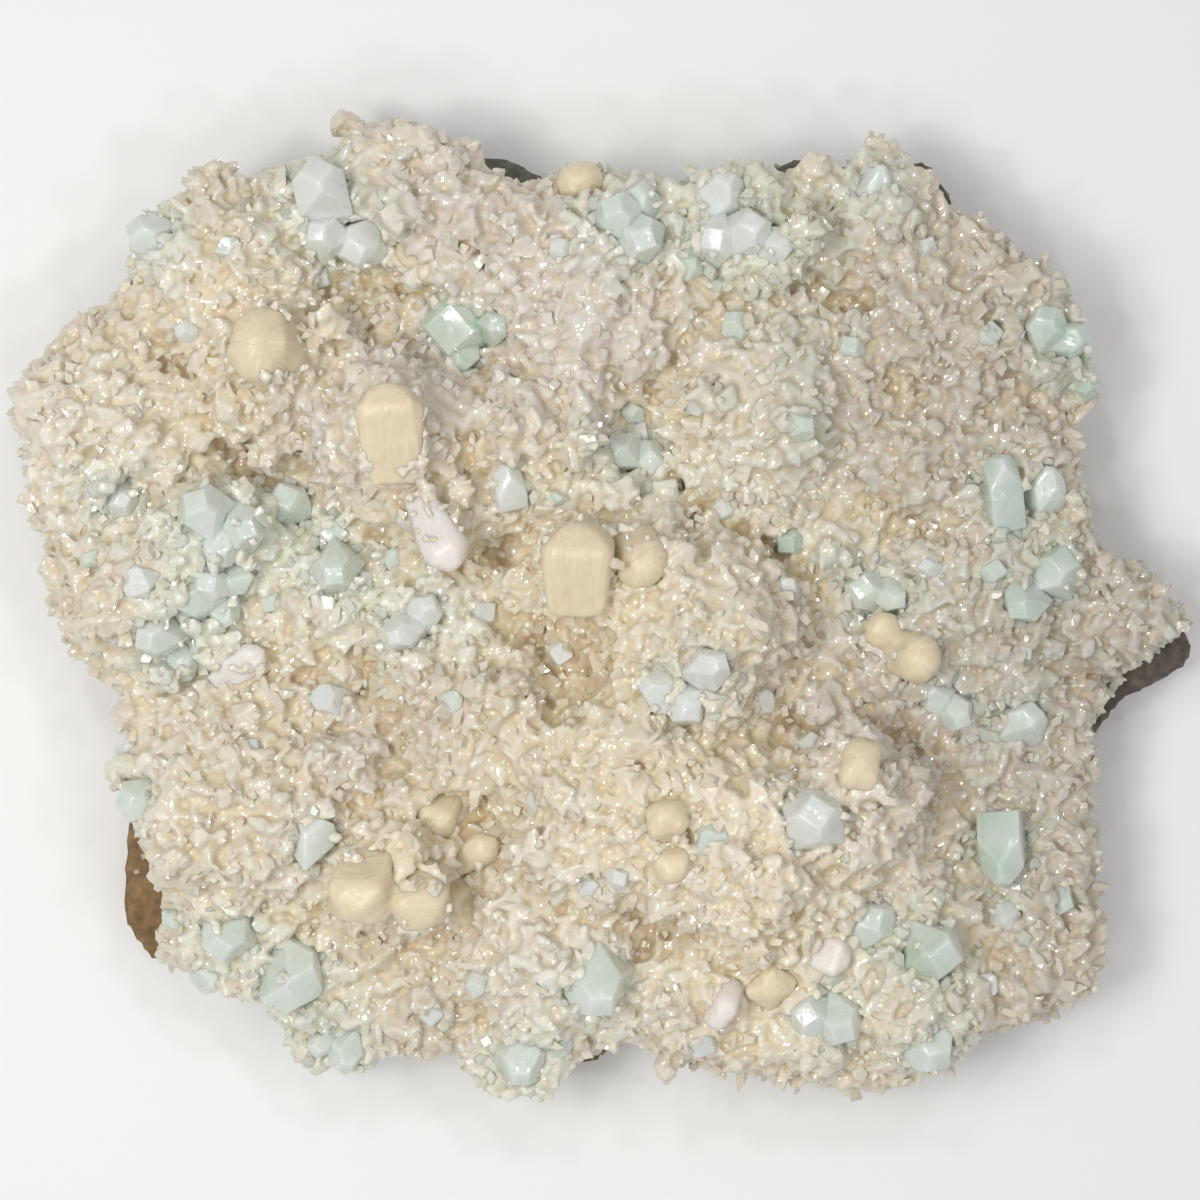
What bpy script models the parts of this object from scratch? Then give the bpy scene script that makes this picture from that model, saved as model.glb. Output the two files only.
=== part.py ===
"""Apophyllite cluster: a plate of basalt under a carpet of stilbite, with large crystals on it.

The specimen is as wide as a tea tray. It lies on its flat rock side, +Z up. +Y is the top of the plan
and +X its right-hand side.
The plan was read from straight above, so places are plan pixels, and every size is in metres.
"""

import math
import random
from itertools import combinations
from typing import NamedTuple

import bmesh
import bpy
import numpy as np
from mathutils import Matrix, Vector, noise
from mathutils.bvhtree import BVHTree

MM = 0.001

# The eye that the plan was read from
EYE_HEIGHT = 0.950
FOCUS_PX = 2767.0
PLAN_CENTRE_PX = (604.0, 606.0)

# Levels above the table
SEAM_LEVEL = 22 * MM
SEAM_SWELL = 5.0 * MM
SEAM_RIPPLE = 60 * MM
SEAM_GRID = (13, 11)
DRUSE_TOP = 45 * MM
RIM_LEVEL = 35 * MM
DRUSE_FOOT = 8 * MM
ROCK_LEVEL = 12 * MM
ROCK_TOP = 32 * MM
ROCK_FOOT = -3 * MM
GAP = 0.35 * MM
CUTTER_SPAN = 0.46
CUTTER_DEPTH = 0.14

# Rounding of the carpet's rim, and how far the rock's foot draws in under it
RIM_ROUND = 7 * MM
FOOT_DRAW = 9 * MM

# Grain of the two bodies
DRUSE_VOXEL = 4.0 * MM
DRUSE_FACES = 990
ROCK_VOXEL = 6.0 * MM
ROCK_FACES = 440
SEED = 11

# Rounding of the big forms, and the rock's chips
SMOOTHING = 4
ROCK_SMOOTHING = 2
COARSE_CHIP = (38 * MM, 3.0 * MM)
FINE_CHIP = (13 * MM, 1.4 * MM)

# Apophyllite: the four cap faces stand turned by an eighth of a turn, this steep to the base.
# A blunt crystal's flat top keeps this share of the prism's half width along the diagonals.
CAP_SLOPE = math.radians(60.5)
BLUNT_TOP = 0.77

# Stilbite: a sheaf widens upwards by this angle, from this share of its full width, and its
# bevelled sides cut the corners. A dome has this many sides and two rings of faces over them.
# A sharp tip makes the sheaf's end steeper and the dome higher: the share at tip 0, and what tip 1 adds.
SHEAF_FLARE = math.radians(8)
SHEAF_FOOT = 0.86
SHEAF_RINGS = (math.radians(30), math.radians(60))
SHEAF_STEEPNESS = (0.6, 0.4)
SHEAF_CORNER = 0.9
SHEAF_CORNER_CUT = 0.22
DOME_SIDES = 7
DOME_RINGS = (math.radians(35), math.radians(62))
DOME_RISE = (0.9, 0.2)
CHISEL_ROOF = math.radians(38)

CREAM = (0.80, 0.71, 0.55)
PALE_GREEN = (0.70, 0.81, 0.75)
ROCK_BROWN = (0.20, 0.18, 0.15)

# Edge of the crystal carpet, clockwise from the top left
DRUSE_EDGE_PX = [
    (340, 152), (368, 125), (400, 121), (412, 140), (445, 158), (480, 165), (512, 182), (545, 176),
    (556, 166), (596, 168), (608, 192), (640, 186), (690, 188), (732, 170), (760, 178), (800, 172),
    (845, 172), (872, 168), (905, 178), (940, 195), (975, 225), (1003, 255), (1022, 278), (1045, 300),
    (1075, 315), (1089, 330), (1078, 355), (1100, 375), (1104, 390), (1078, 412), (1075, 440),
    (1078, 475), (1075, 505), (1070, 530), (1073, 549), (1110, 551), (1150, 577), (1175, 600),
    (1182, 635), (1165, 655), (1135, 668), (1105, 690), (1083, 722), (1092, 750), (1092, 850),
    (1097, 905), (1101, 930), (1092, 965), (1078, 1000), (1050, 1022), (1005, 1028), (968, 1038),
    (950, 1060), (915, 1086), (860, 1086), (800, 1080), (740, 1068), (690, 1058), (645, 1038),
    (610, 1044), (575, 1068), (535, 1090), (495, 1100), (478, 1070), (430, 1040), (392, 1046),
    (345, 1073), (305, 1053), (275, 1015), (258, 995), (232, 980), (205, 997), (175, 968), (152, 945),
    (168, 915), (165, 880), (150, 850), (135, 826), (120, 795), (125, 745), (152, 722), (130, 692),
    (95, 665), (72, 645), (56, 600), (60, 572), (45, 545), (38, 500), (20, 478), (15, 440), (18, 405),
    (32, 368), (55, 340), (95, 316), (125, 307), (140, 270), (134, 240), (160, 222), (200, 188),
    (245, 172), (290, 174), (315, 165),
]

# Edge of the rock plate, which shows past the carpet at its ledges
ROCK_EDGE_PX = [
    (365, 150), (400, 125), (432, 122), (460, 147), (500, 150), (540, 170), (570, 185), (620, 200),
    (690, 196), (745, 178), (775, 164), (800, 158), (835, 164), (868, 166), (880, 154), (925, 158),
    (948, 180), (955, 215), (1000, 270), (1060, 325), (1078, 345), (1080, 380), (1060, 420),
    (1060, 520), (1085, 556), (1130, 570), (1176, 600), (1193, 640), (1186, 667), (1150, 682),
    (1124, 704), (1092, 734), (1094, 752), (1080, 800), (1082, 900), (1085, 950), (1060, 1010),
    (1025, 1034), (985, 1033), (950, 1040), (900, 1075), (800, 1070), (700, 1055), (650, 1042),
    (618, 1052), (590, 1066), (540, 1070), (500, 1082), (490, 1060), (430, 1028), (370, 1035),
    (330, 1040), (280, 1000), (235, 968), (190, 965), (146, 962), (120, 932), (119, 900), (124, 870),
    (118, 838), (132, 800), (140, 755), (170, 720), (130, 680), (85, 640), (72, 600), (75, 560),
    (55, 520), (40, 480), (30, 430), (45, 370), (80, 335), (130, 318), (155, 270), (160, 240),
    (200, 200), (250, 180), (300, 183),
]

# Mounds of the carpet: plan place, radius in plan pixels, and the height of the top in mm.
# A mound's edge is seen at its shoulder, this share of its height.
MOUND_SHOULDER = 0.7
MOUNDS = [
    (110, 420, 110, 66), (62, 455, 46, 54), (230, 262, 105, 70), (428, 190, 95, 64), (330, 195, 62, 66),
    (272, 360, 85, 76), (388, 430, 78, 84), (440, 525, 44, 80), (150, 590, 95, 68), (222, 525, 58, 72),
    (575, 290, 115, 70), (540, 445, 100, 70), (575, 565, 58, 76), (650, 562, 62, 75), (335, 590, 66, 62),
    (430, 640, 70, 63), (700, 640, 112, 84), (480, 722, 88, 68), (620, 800, 128, 84), (760, 855, 118, 90),
    (855, 790, 74, 84), (235, 800, 122, 72), (150, 782, 36, 54), (388, 872, 66, 78), (330, 765, 66, 58),
    (555, 952, 88, 72), (520, 1050, 46, 52), (700, 990, 84, 66), (805, 1005, 78, 62), (905, 985, 96, 65),
    (750, 232, 82, 68), (632, 232, 58, 69), (885, 225, 78, 62), (960, 325, 100, 62), (1052, 350, 42, 52),
    (965, 460, 100, 58), (780, 420, 112, 66), (980, 572, 88, 59), (1045, 585, 36, 56), (1115, 620, 56, 50),
    (905, 648, 52, 58), (1010, 712, 58, 50), (1030, 905, 62, 54), (1048, 810, 42, 48), (345, 985, 68, 52),
    (225, 930, 46, 58), (950, 790, 52, 48), (1052, 960, 34, 52), (1000, 640, 44, 54), (1050, 500, 36, 54),
    (905, 860, 46, 62), (990, 980, 44, 54),
]

# Small rounded lumps that roughen the carpet
LUMP_WIDTH = 21 * MM
LUMP_RISE = 4.0 * MM
LUMP_LEVEL = 0.55

# Small crystals fused to the carpet
FUSED_COUNT = 62
FUSED_TRIES = 4000
FUSED_SPACING = 19 * MM
FUSED_LENGTH = (8 * MM, 12 * MM)
FUSED_WIDTH = (0.6, 0.85)
FUSED_THICKNESS = (0.6, 0.95)
FUSED_ROOT = 5 * MM
FUSED_LEAN = 0.45
FUSED_STEEPEST = 0.2
FUSED_LOWEST = SEAM_LEVEL + 9 * MM


class Crystal(NamedTuple):
    """One large crystal. Widths and reaches are in mm, and angles in degrees."""

    node: str
    habit: str
    px: float
    py: float
    width: float
    thick: float
    above: float
    below: float
    lean: float = 0
    toward: float = 0
    spin: float = 0
    lift: float = 0
    tip: float = 0.5


# Habits: block is apophyllite, and sheaf and dome are stilbite.
# The crystal leans from upright by lean, toward a bearing counted from +X, and turns by spin.
CRYSTALS = [
    Crystal("apophyllite_01", "block", 320, 186, 17, 15, 8, 10, 30, 95, 10, 3, 0.35),
    Crystal("apophyllite_01", "block", 324, 236, 13, 14, 8, 10, 12, 180, 40, 2, 0.5),
    Crystal("apophyllite_01", "block", 362, 246, 16, 15, 9, 10, 25, 240, 45, 3, 0.45),
    Crystal("apophyllite_02", "block", 152, 238, 14, 13, 8, 10, 40, 150, 15, 2, 0.4),
    Crystal("apophyllite_03", "block", 456, 326, 20, 18, 8, 12, 20, 230, 35, 3, 0.2),
    Crystal("apophyllite_03", "block", 463, 352, 12, 11, 8, 10, 45, 265, 15, 1, 0.5),
    Crystal("apophyllite_03", "block", 494, 328, 10, 7, 7, 8, 15, 20, 20, 3, 0.3),
    Crystal("apophyllite_04", "block", 103, 490, 10, 10, 7, 9, 20, 120, 10, 1, 0.4),
    Crystal("apophyllite_04", "block", 123, 499, 11, 10, 8, 9, 12, 330, 50, 2, 0.5),
    Crystal("apophyllite_05", "block", 204, 509, 15, 14, 8, 10, 18, 120, 30, 3, 0.4),
    Crystal("apophyllite_05", "block", 245, 527, 14, 13, 9, 10, 14, 330, 5, 3, 0.5),
    Crystal("apophyllite_05", "block", 220, 548, 12, 12, 6, 10, 40, 265, 45, 1, 0.4),
    Crystal("apophyllite_06", "block", 287, 504, 15, 11, 7, 9, 20, 90, 20, 2, 0.3),
    Crystal("apophyllite_07", "block", 334, 534, 18, 9, 6, 9, 8, 0, 0, 2, 0.4),
    Crystal("apophyllite_07", "block", 336, 570, 14, 13, 8, 9, 15, 280, 40, 3, 0.5),
    Crystal("apophyllite_08", "block", 190, 600, 12, 12, 8, 9, 30, 200, 20, 3, 0.8),
    Crystal("apophyllite_08", "block", 212, 588, 13, 11, 9, 9, 12, 90, 35, 4, 0.4),
    Crystal("apophyllite_08", "block", 236, 580, 10, 10, 9, 9, 45, 10, 0, 4, 0.8),
    Crystal("apophyllite_08", "block", 224, 609, 11, 10, 8, 9, 40, 300, 45, 3, 0.7),
    Crystal("apophyllite_09", "block", 158, 636, 12, 12, 8, 9, 25, 200, 15, 3, 0.4),
    Crystal("apophyllite_09", "block", 180, 664, 15, 11, 6, 9, 40, 285, 40, 2, 0.4),
    Crystal("apophyllite_10", "block", 404, 632, 11, 10, 8, 9, 25, 210, 30, 3, 0.5),
    Crystal("apophyllite_10", "block", 425, 612, 11, 10, 8, 9, 25, 60, 0, 3, 0.5),
    Crystal("apophyllite_11", "block", 508, 486, 10, 9, 8, 7, 60, 95, 20, 4, 0.6),
    Crystal("apophyllite_12", "block", 311, 843, 16, 15, 10, 6, 62, 262, 8, 5, 1.0),
    Crystal("apophyllite_13", "block", 138, 800, 13, 12, 7, 9, 30, 170, 25, 2, 0.4),
    Crystal("apophyllite_14", "block", 295, 975, 22, 13, 10, 12, 30, 330, 8, 4, 0.2),
    Crystal("apophyllite_15", "block", 226, 938, 15, 12, 7, 9, 25, 250, 30, 2, 0.4),
    Crystal("apophyllite_16", "block", 347, 1052, 12, 11, 7, 8, 35, 270, 20, 2, 0.6),
    Crystal("apophyllite_16", "block", 322, 1042, 8, 8, 6, 8, 25, 220, 40, 1, 0.5),
    Crystal("apophyllite_17", "block", 522, 1064, 17, 15, 7, 9, 32, 270, 45, 2, 0.6),
    Crystal("apophyllite_18", "block", 598, 990, 20, 17, 8, 10, 32, 285, 30, 3, 0.5),
    Crystal("apophyllite_19", "block", 660, 690, 15, 12, 8, 9, 42, 160, 20, 3, 0.6),
    Crystal("apophyllite_19", "block", 686, 704, 13, 12, 7, 9, 20, 300, 10, 2, 0.4),
    Crystal("apophyllite_19", "block", 709, 667, 12, 9, 8, 8, 30, 30, 30, 4, 0.5),
    Crystal("apophyllite_20", "block", 618, 216, 13, 12, 8, 9, 20, 140, 10, 3, 0.4),
    Crystal("apophyllite_20", "block", 640, 238, 14, 13, 8, 9, 15, 300, 35, 3, 0.4),
    Crystal("apophyllite_20", "block", 640, 203, 11, 11, 7, 9, 30, 70, 20, 2, 0.5),
    Crystal("apophyllite_21", "block", 722, 192, 16, 14, 8, 9, 25, 75, 30, 3, 0.6),
    Crystal("apophyllite_21", "block", 718, 240, 14, 13, 8, 9, 18, 200, 15, 2, 0.4),
    Crystal("apophyllite_21", "block", 748, 232, 13, 13, 8, 9, 15, 60, 40, 2, 0.4),
    Crystal("apophyllite_21", "block", 776, 246, 12, 11, 7, 9, 25, 340, 20, 2, 0.5),
    Crystal("apophyllite_22", "block", 878, 184, 12, 11, 7, 8, 42, 85, 45, 3, 0.8),
    Crystal("apophyllite_23", "block", 620, 452, 11, 10, 7, 9, 25, 170, 20, 2, 0.4),
    Crystal("apophyllite_23", "block", 646, 460, 13, 11, 7, 9, 15, 320, 40, 2, 0.4),
    Crystal("apophyllite_24", "block", 1000, 492, 11, 11, 12, 12, 72, 98, 10, 4, 0.4),
    Crystal("apophyllite_25", "block", 1045, 487, 12, 11, 8, 8, 45, 88, 30, 3, 0.7),
    Crystal("apophyllite_26", "block", 1054, 570, 16, 15, 8, 9, 25, 60, 20, 3, 0.4),
    Crystal("apophyllite_26", "block", 1021, 603, 14, 9, 7, 8, 30, 220, 10, 3, 0.4),
    Crystal("apophyllite_27", "block", 864, 590, 13, 12, 7, 9, 15, 150, 20, 2, 0.4),
    Crystal("apophyllite_27", "block", 890, 596, 10, 10, 7, 9, 25, 320, 0, 2, 0.5),
    Crystal("apophyllite_28", "block", 935, 695, 12, 11, 8, 9, 25, 140, 20, 2, 0.7),
    Crystal("apophyllite_28", "block", 955, 712, 11, 10, 7, 9, 25, 300, 35, 2, 0.4),
    Crystal("apophyllite_29", "block", 1022, 722, 14, 10, 8, 8, 35, 60, 25, 3, 0.4),
    Crystal("apophyllite_30", "block", 812, 817, 18, 17, 9, 10, 16, 80, 20, 4, 0.4),
    Crystal("apophyllite_31", "block", 870, 921, 16, 14, 8, 10, 18, 110, 10, 3, 0.4),
    Crystal("apophyllite_32", "block", 935, 951, 16, 15, 8, 10, 18, 335, 15, 3, 0.3),
    Crystal("apophyllite_33", "block", 1000, 848, 14, 13, 12, 11, 66, 268, 20, 5, 0.6),
    Crystal("apophyllite_34", "block", 1003, 916, 10, 10, 7, 8, 14, 200, 10, 4, 1.0),
    Crystal("apophyllite_35", "block", 810, 1014, 13, 12, 7, 9, 20, 150, 20, 2, 0.4),
    Crystal("apophyllite_35", "block", 838, 1022, 15, 13, 7, 9, 22, 290, 40, 2, 0.4),
    Crystal("apophyllite_36", "block", 930, 1047, 17, 14, 7, 9, 35, 300, 20, 2, 0.4),
    Crystal("apophyllite_37", "block", 1044, 326, 13, 12, 7, 9, 30, 100, 20, 2, 0.4),
    Crystal("apophyllite_37", "block", 1068, 340, 12, 12, 7, 8, 35, 20, 45, 2, 0.5),
    Crystal("stilbite_paddle", "sheaf", 392, 436, 22, 11, 17, 15, 72, 95, 0, 3, 0.5),
    Crystal("stilbite_silky_blade", "sheaf", 436, 530, 14, 9, 15, 15, 68, 298, 10, 4, 0.6),
    Crystal("stilbite_barrel", "sheaf", 577, 568, 24, 19, 15, 14, 70, 88, 0, 6, 0.4),
    Crystal("stilbite_dome_centre", "dome", 641, 560, 17, 14, 10, 10, 30, 300, 20, 3, 0.5),
    Crystal("stilbite_dome_left", "dome", 262, 346, 24, 18, 10, 12, 28, 140, 30, 3, 0.5),
    Crystal("stilbite_lens", "sheaf", 420, 262, 11, 8, 10, 9, 74, 318, 0, 3, 0.7),
    Crystal("stilbite_fibrous_blade", "sheaf", 233, 672, 10, 5, 14, 12, 74, 32, 15, 4, 0.3),
    Crystal("stilbite_bow_tie", "sheaf", 364, 886, 20, 17, 12, 12, 42, 250, 20, 5, 0.5),
    Crystal("stilbite_bow_tie", "sheaf", 418, 893, 19, 16, 12, 12, 48, 300, 340, 5, 0.5),
    Crystal("stilbite_fan", "sheaf", 441, 808, 14, 12, 11, 11, 46, 240, 15, 5, 0.5),
    Crystal("stilbite_long_blade", "sheaf", 464, 858, 9, 7, 14, 11, 70, 30, 10, 4, 0.5),
    Crystal("stilbite_cube_group", "sheaf", 666, 822, 13, 11, 9, 10, 30, 90, 10, 3, 0.4),
    Crystal("stilbite_cube_group", "sheaf", 671, 858, 11, 10, 9, 10, 32, 275, 0, 4, 0.1),
    Crystal("stilbite_step_block", "sheaf", 820, 950, 8, 12, 10, 11, 70, 340, 90, 3, 0.1),
    Crystal("stilbite_peach_block", "sheaf", 768, 980, 15, 13, 8, 10, 30, 290, 30, 2, 0.2),
    Crystal("stilbite_dome_right", "dome", 882, 632, 12, 10, 8, 9, 30, 110, 20, 3, 0.5),
    Crystal("stilbite_dome_right", "dome", 916, 658, 15, 13, 8, 9, 25, 340, 10, 3, 0.5),
    Crystal("stilbite_diamond", "sheaf", 722, 1003, 15, 8, 8, 8, 40, 255, 75, 4, 0.9),
    Crystal("stilbite_top_block", "sheaf", 858, 766, 17, 12, 8, 10, 25, 80, 90, 3, 0.2),
    Crystal("stilbite_dome_back", "dome", 580, 186, 15, 13, 8, 9, 40, 90, 30, 2, 0.5),
]


def plan_point(px, py, z):
    """The point at height z that the eye sees at a plan pixel."""
    away = (EYE_HEIGHT - z) / FOCUS_PX
    return Vector(((px - PLAN_CENTRE_PX[0]) * away, (PLAN_CENTRE_PX[1] - py) * away, z))


def clear_scene():
    for obj in list(bpy.data.objects):
        bpy.data.objects.remove(obj, do_unlink=True)


def new_collection(name):
    made = bpy.data.collections.new(name)
    bpy.context.scene.collection.children.link(made)
    return made


def new_material(name, colour, roughness, clear=0.0):
    material = bpy.data.materials.new(name)
    material.use_nodes = True
    shader = material.node_tree.nodes["Principled BSDF"]
    shader.inputs["Base Color"].default_value = (*colour, 1)
    shader.inputs["Roughness"].default_value = roughness
    shader.inputs["Metallic"].default_value = 0.0
    shader.inputs["Transmission Weight"].default_value = clear
    return material


def new_object(name, mesh, home, material=None):
    obj = bpy.data.objects.new(name, mesh)
    home.objects.link(obj)
    if material:
        mesh.materials.clear()
        mesh.materials.append(material)
    return obj


def as_cutter(obj):
    obj.hide_render = True
    obj.display_type = "WIRE"
    return obj


def settle(obj):
    """The object with its modifiers applied and its place kept in its mesh."""
    graph = bpy.context.evaluated_depsgraph_get()
    mesh = bpy.data.meshes.new_from_object(obj.evaluated_get(graph))
    mesh.transform(obj.matrix_world)
    name, home = obj.name, obj.users_collection[0]
    bpy.data.objects.remove(obj)
    return new_object(name, mesh, home)


def edited(obj, change):
    """Runs change on the object's mesh as a bmesh."""
    form = bmesh.new()
    form.from_mesh(obj.data)
    change(form)
    form.to_mesh(obj.data)
    form.free()


def outline_slab(name, edge_px, level, low, high, rounding, home):
    """A flat slab with this plan edge, from low to high, with its rim rounded."""
    curve = bpy.data.curves.new(name, "CURVE")
    curve.dimensions = "2D"
    curve.fill_mode = "BOTH"
    curve.extrude = (high - low) / 2 - rounding
    curve.bevel_depth = rounding
    curve.bevel_resolution = 2
    curve.offset = -rounding
    spline = curve.splines.new("POLY")
    spline.points.add(len(edge_px) - 1)
    for point, (px, py) in zip(spline.points, edge_px):
        place = plan_point(px, py, level)
        point.co = (place.x, place.y, 0, 1)
    spline.use_cyclic_u = True
    obj = new_object(name, curve, home)
    obj.location.z = (low + high) / 2
    bpy.context.view_layer.update()
    obj = settle(obj)
    edited(obj, lambda form: bmesh.ops.remove_doubles(form, verts=form.verts, dist=0.01 * MM))
    return obj


def sight_block(name, edge_px, low, high, home):
    """A block from low to high whose sides run along the lines of sight through this plan edge."""
    form = bmesh.new()
    foot, top = ([form.verts.new(plan_point(px, py, z)) for px, py in edge_px] for z in (low, high))
    caps = [form.faces.new(foot), form.faces.new(top)]
    for here in range(len(edge_px)):
        form.faces.new((foot[here - 1], foot[here], top[here], top[here - 1]))
    bmesh.ops.triangulate(form, faces=caps)
    bmesh.ops.recalc_face_normals(form, faces=form.faces)
    mesh = bpy.data.meshes.new(name)
    form.to_mesh(mesh)
    form.free()
    return as_cutter(new_object(name, mesh, home))


def add_mounds(form, mounds):
    """Adds one ellipsoid for each mound, sunk into the carpet."""
    for px, py, radius_px, top in mounds:
        seen = plan_point(px, py, top * MM * MOUND_SHOULDER)
        radius = radius_px * (EYE_HEIGHT - seen.z) / FOCUS_PX
        size = Matrix.Diagonal((radius, radius, top * MM - RIM_LEVEL, 1))
        where = Matrix.Translation((seen.x, seen.y, RIM_LEVEL))
        bmesh.ops.create_icosphere(form, subdivisions=3, radius=1, matrix=where @ size)


def voxelled(obj, voxel, smoothing):
    """The object as one closed skin, smoothed."""
    remesh = obj.modifiers.new("one_skin", "REMESH")
    remesh.mode = "VOXEL"
    remesh.voxel_size = voxel
    soften = obj.modifiers.new("soften", "SMOOTH")
    soften.factor = 0.5
    soften.iterations = smoothing
    return settle(obj)


def thinned(obj, faces):
    """The object with its skin thinned to about this many triangles."""
    obj.data.calc_loop_triangles()
    thin = obj.modifiers.new("thin", "DECIMATE")
    thin.ratio = faces / len(obj.data.loop_triangles)
    return settle(obj)


def lump(place):
    """How far the carpet swells at a place: rounded lumps with creases between them."""
    near = noise.voronoi(place / LUMP_WIDTH)[0][0]
    return LUMP_RISE * (LUMP_LEVEL - near)


def swell_druse(form):
    form.normal_update()
    for vert in form.verts:
        vert.co += vert.normal * lump(vert.co.copy())


def roughen_rock(form):
    """Draws the rock in towards its foot, and breaks its sides into coarse chips."""
    form.normal_update()
    for vert in form.verts:
        draw = FOOT_DRAW * (1 - max(vert.co.z, 0) / ROCK_TOP)
        flat = Vector((vert.co.x, vert.co.y, 0))
        vert.co -= flat.normalized() * draw
        chips = sum(deep * noise.noise(vert.co / wide) for wide, deep in (COARSE_CHIP, FINE_CHIP))
        vert.co += vert.normal * chips


def seam_sheet(name, lift, up, home):
    """A rippled slab whose lower or upper face is the seam between rock and carpet."""
    form = bmesh.new()
    bmesh.ops.create_grid(form, x_segments=SEAM_GRID[0], y_segments=SEAM_GRID[1], size=0.5)
    for vert in form.verts:
        vert.co.x *= CUTTER_SPAN
        vert.co.y *= CUTTER_SPAN
        vert.co.z = SEAM_LEVEL + SEAM_SWELL * noise.noise(vert.co / SEAM_RIPPLE) + lift
    bmesh.ops.triangulate(form, faces=form.faces)
    top = bmesh.ops.extrude_face_region(form, geom=form.faces[:])
    far = SEAM_LEVEL + (CUTTER_DEPTH if up else -CUTTER_DEPTH)
    for vert in (part for part in top["geom"] if isinstance(part, bmesh.types.BMVert)):
        vert.co.z = far
    bmesh.ops.recalc_face_normals(form, faces=form.faces)
    mesh = bpy.data.meshes.new(name)
    form.to_mesh(mesh)
    form.free()
    return as_cutter(new_object(name, mesh, home))


def corner_points(faces):
    """The corners of the solid that lies inside these faces, each a normal and its distance."""
    normals = np.array([Vector(normal).normalized() for normal, _ in faces])
    reach = np.array([distance for _, distance in faces])
    found = []
    for trio in combinations(range(len(faces)), 3):
        matrix = normals[list(trio)]
        if abs(np.linalg.det(matrix)) < 1e-6:
            continue
        corner = np.linalg.solve(matrix, reach[list(trio)])
        if (normals @ corner <= reach + 1e-7).all():
            found.append(corner)
    return found


def crystal_mesh(name, faces):
    form = bmesh.new()
    for corner in corner_points(faces):
        form.verts.new(corner)
    bmesh.ops.remove_doubles(form, verts=form.verts, dist=0.02 * MM)
    hull = bmesh.ops.convex_hull(form, input=form.verts)
    inside = [v for v in hull["geom_interior"] if isinstance(v, bmesh.types.BMVert)]
    bmesh.ops.delete(form, geom=inside, context="VERTS")
    bmesh.ops.recalc_face_normals(form, faces=form.faces)
    bmesh.ops.dissolve_limit(
        form, angle_limit=math.radians(0.5), verts=form.verts, edges=form.edges
    )
    mesh = bpy.data.meshes.new(name)
    form.to_mesh(mesh)
    form.free()
    return mesh


def tetragonal_faces(width, thick, above, below, tip, swell=0.0):
    """Apophyllite: a square prism, a flat base face on top and four cap faces that cut its corners."""
    half = (width + thick) / 4
    across, up = math.sin(CAP_SLOPE) / math.sqrt(2), math.cos(CAP_SLOPE)
    # The cap faces would meet at the apex, which is the crystal's own tip when tip is 1
    apex = above + (1 - tip) * BLUNT_TOP * half * math.tan(CAP_SLOPE)
    cap = apex * up
    faces = [((1, 0, 0), thick / 2), ((-1, 0, 0), thick / 2), ((0, 1, 0), width / 2)]
    faces += [((0, -1, 0), width / 2), ((0, 0, 1), above), ((0, 0, -1), below)]
    faces += [((across * i, across * j, up), cap) for i in (1, -1) for j in (1, -1)]
    return [(normal, distance + swell) for normal, distance in faces]


def chisel_faces(width, thick, above, below):
    """A small stilbite crystal: a tablet with a roof of two faces."""
    across, up = math.sin(CHISEL_ROOF), math.cos(CHISEL_ROOF)
    faces = [((1, 0, 0), thick / 2), ((-1, 0, 0), thick / 2), ((0, 1, 0), width / 2)]
    faces += [((0, -1, 0), width / 2), ((0, 0, -1), below)]
    faces += [((0, side * across, up), above * up) for side in (1, -1)]
    return faces


def sheaf_faces(width, thick, above, below, tip, swell=0.0):
    """Stilbite: a blade or barrel that widens like a sheaf and ends in a blunt, rounded fan."""
    out, down = math.cos(SHEAF_FLARE), -math.sin(SHEAF_FLARE)
    faces = [((0, 0, -1), below), ((0, 0, 1), above)]
    for side in (1, -1):
        faces.append(((0, side * out, down), width / 2 * SHEAF_FOOT))
        faces.append(((side * out, 0, down), thick / 2 * SHEAF_FOOT))
        for ring in SHEAF_RINGS:
            slope = ring * (SHEAF_STEEPNESS[0] + SHEAF_STEEPNESS[1] * tip)
            across, up = math.sin(slope), math.cos(slope)
            faces.append(((0, side * across, up), math.hypot(width / 2 * across, above * up)))
            faces.append(((side * across, 0, up), math.hypot(thick / 2 * across, above * up)))
    corner = (thick + width) / 2 * SHEAF_CORNER / math.sqrt(2) * (1 - SHEAF_CORNER_CUT * tip)
    faces += [((i, j, 0), corner) for i in (1, -1) for j in (1, -1)]
    return [(normal, distance + swell) for normal, distance in faces]


def dome_faces(width, thick, above, below, tip, swell=0.0):
    """Stilbite: a button of radiating blades, round in plan. A sharper tip stands higher."""
    above *= DOME_RISE[0] + DOME_RISE[1] * tip
    faces = [((0, 0, -1), below), ((0, 0, 1), above)]
    for turn in range(DOME_SIDES):
        bearing = math.tau * turn / DOME_SIDES
        reach = math.hypot(thick / 2 * math.cos(bearing), width / 2 * math.sin(bearing))
        flat = (math.cos(bearing), math.sin(bearing))
        faces.append(((*flat, 0), reach))
        for slope in DOME_RINGS:
            normal = (flat[0] * math.cos(slope), flat[1] * math.cos(slope), math.sin(slope))
            faces.append((normal, math.hypot(reach * math.cos(slope), above * math.sin(slope))))
    return [(normal, distance + swell) for normal, distance in faces]


HABITS = {"block": tetragonal_faces, "sheaf": sheaf_faces, "dome": dome_faces}


def turned(lean, toward, spin):
    """The turn that leans a crystal's axis from upright toward a bearing, after spinning it."""
    bearing = Matrix.Rotation(toward, 4, "Z")
    return bearing @ Matrix.Rotation(lean, 4, "Y") @ Matrix.Rotation(spin, 4, "Z")


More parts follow.
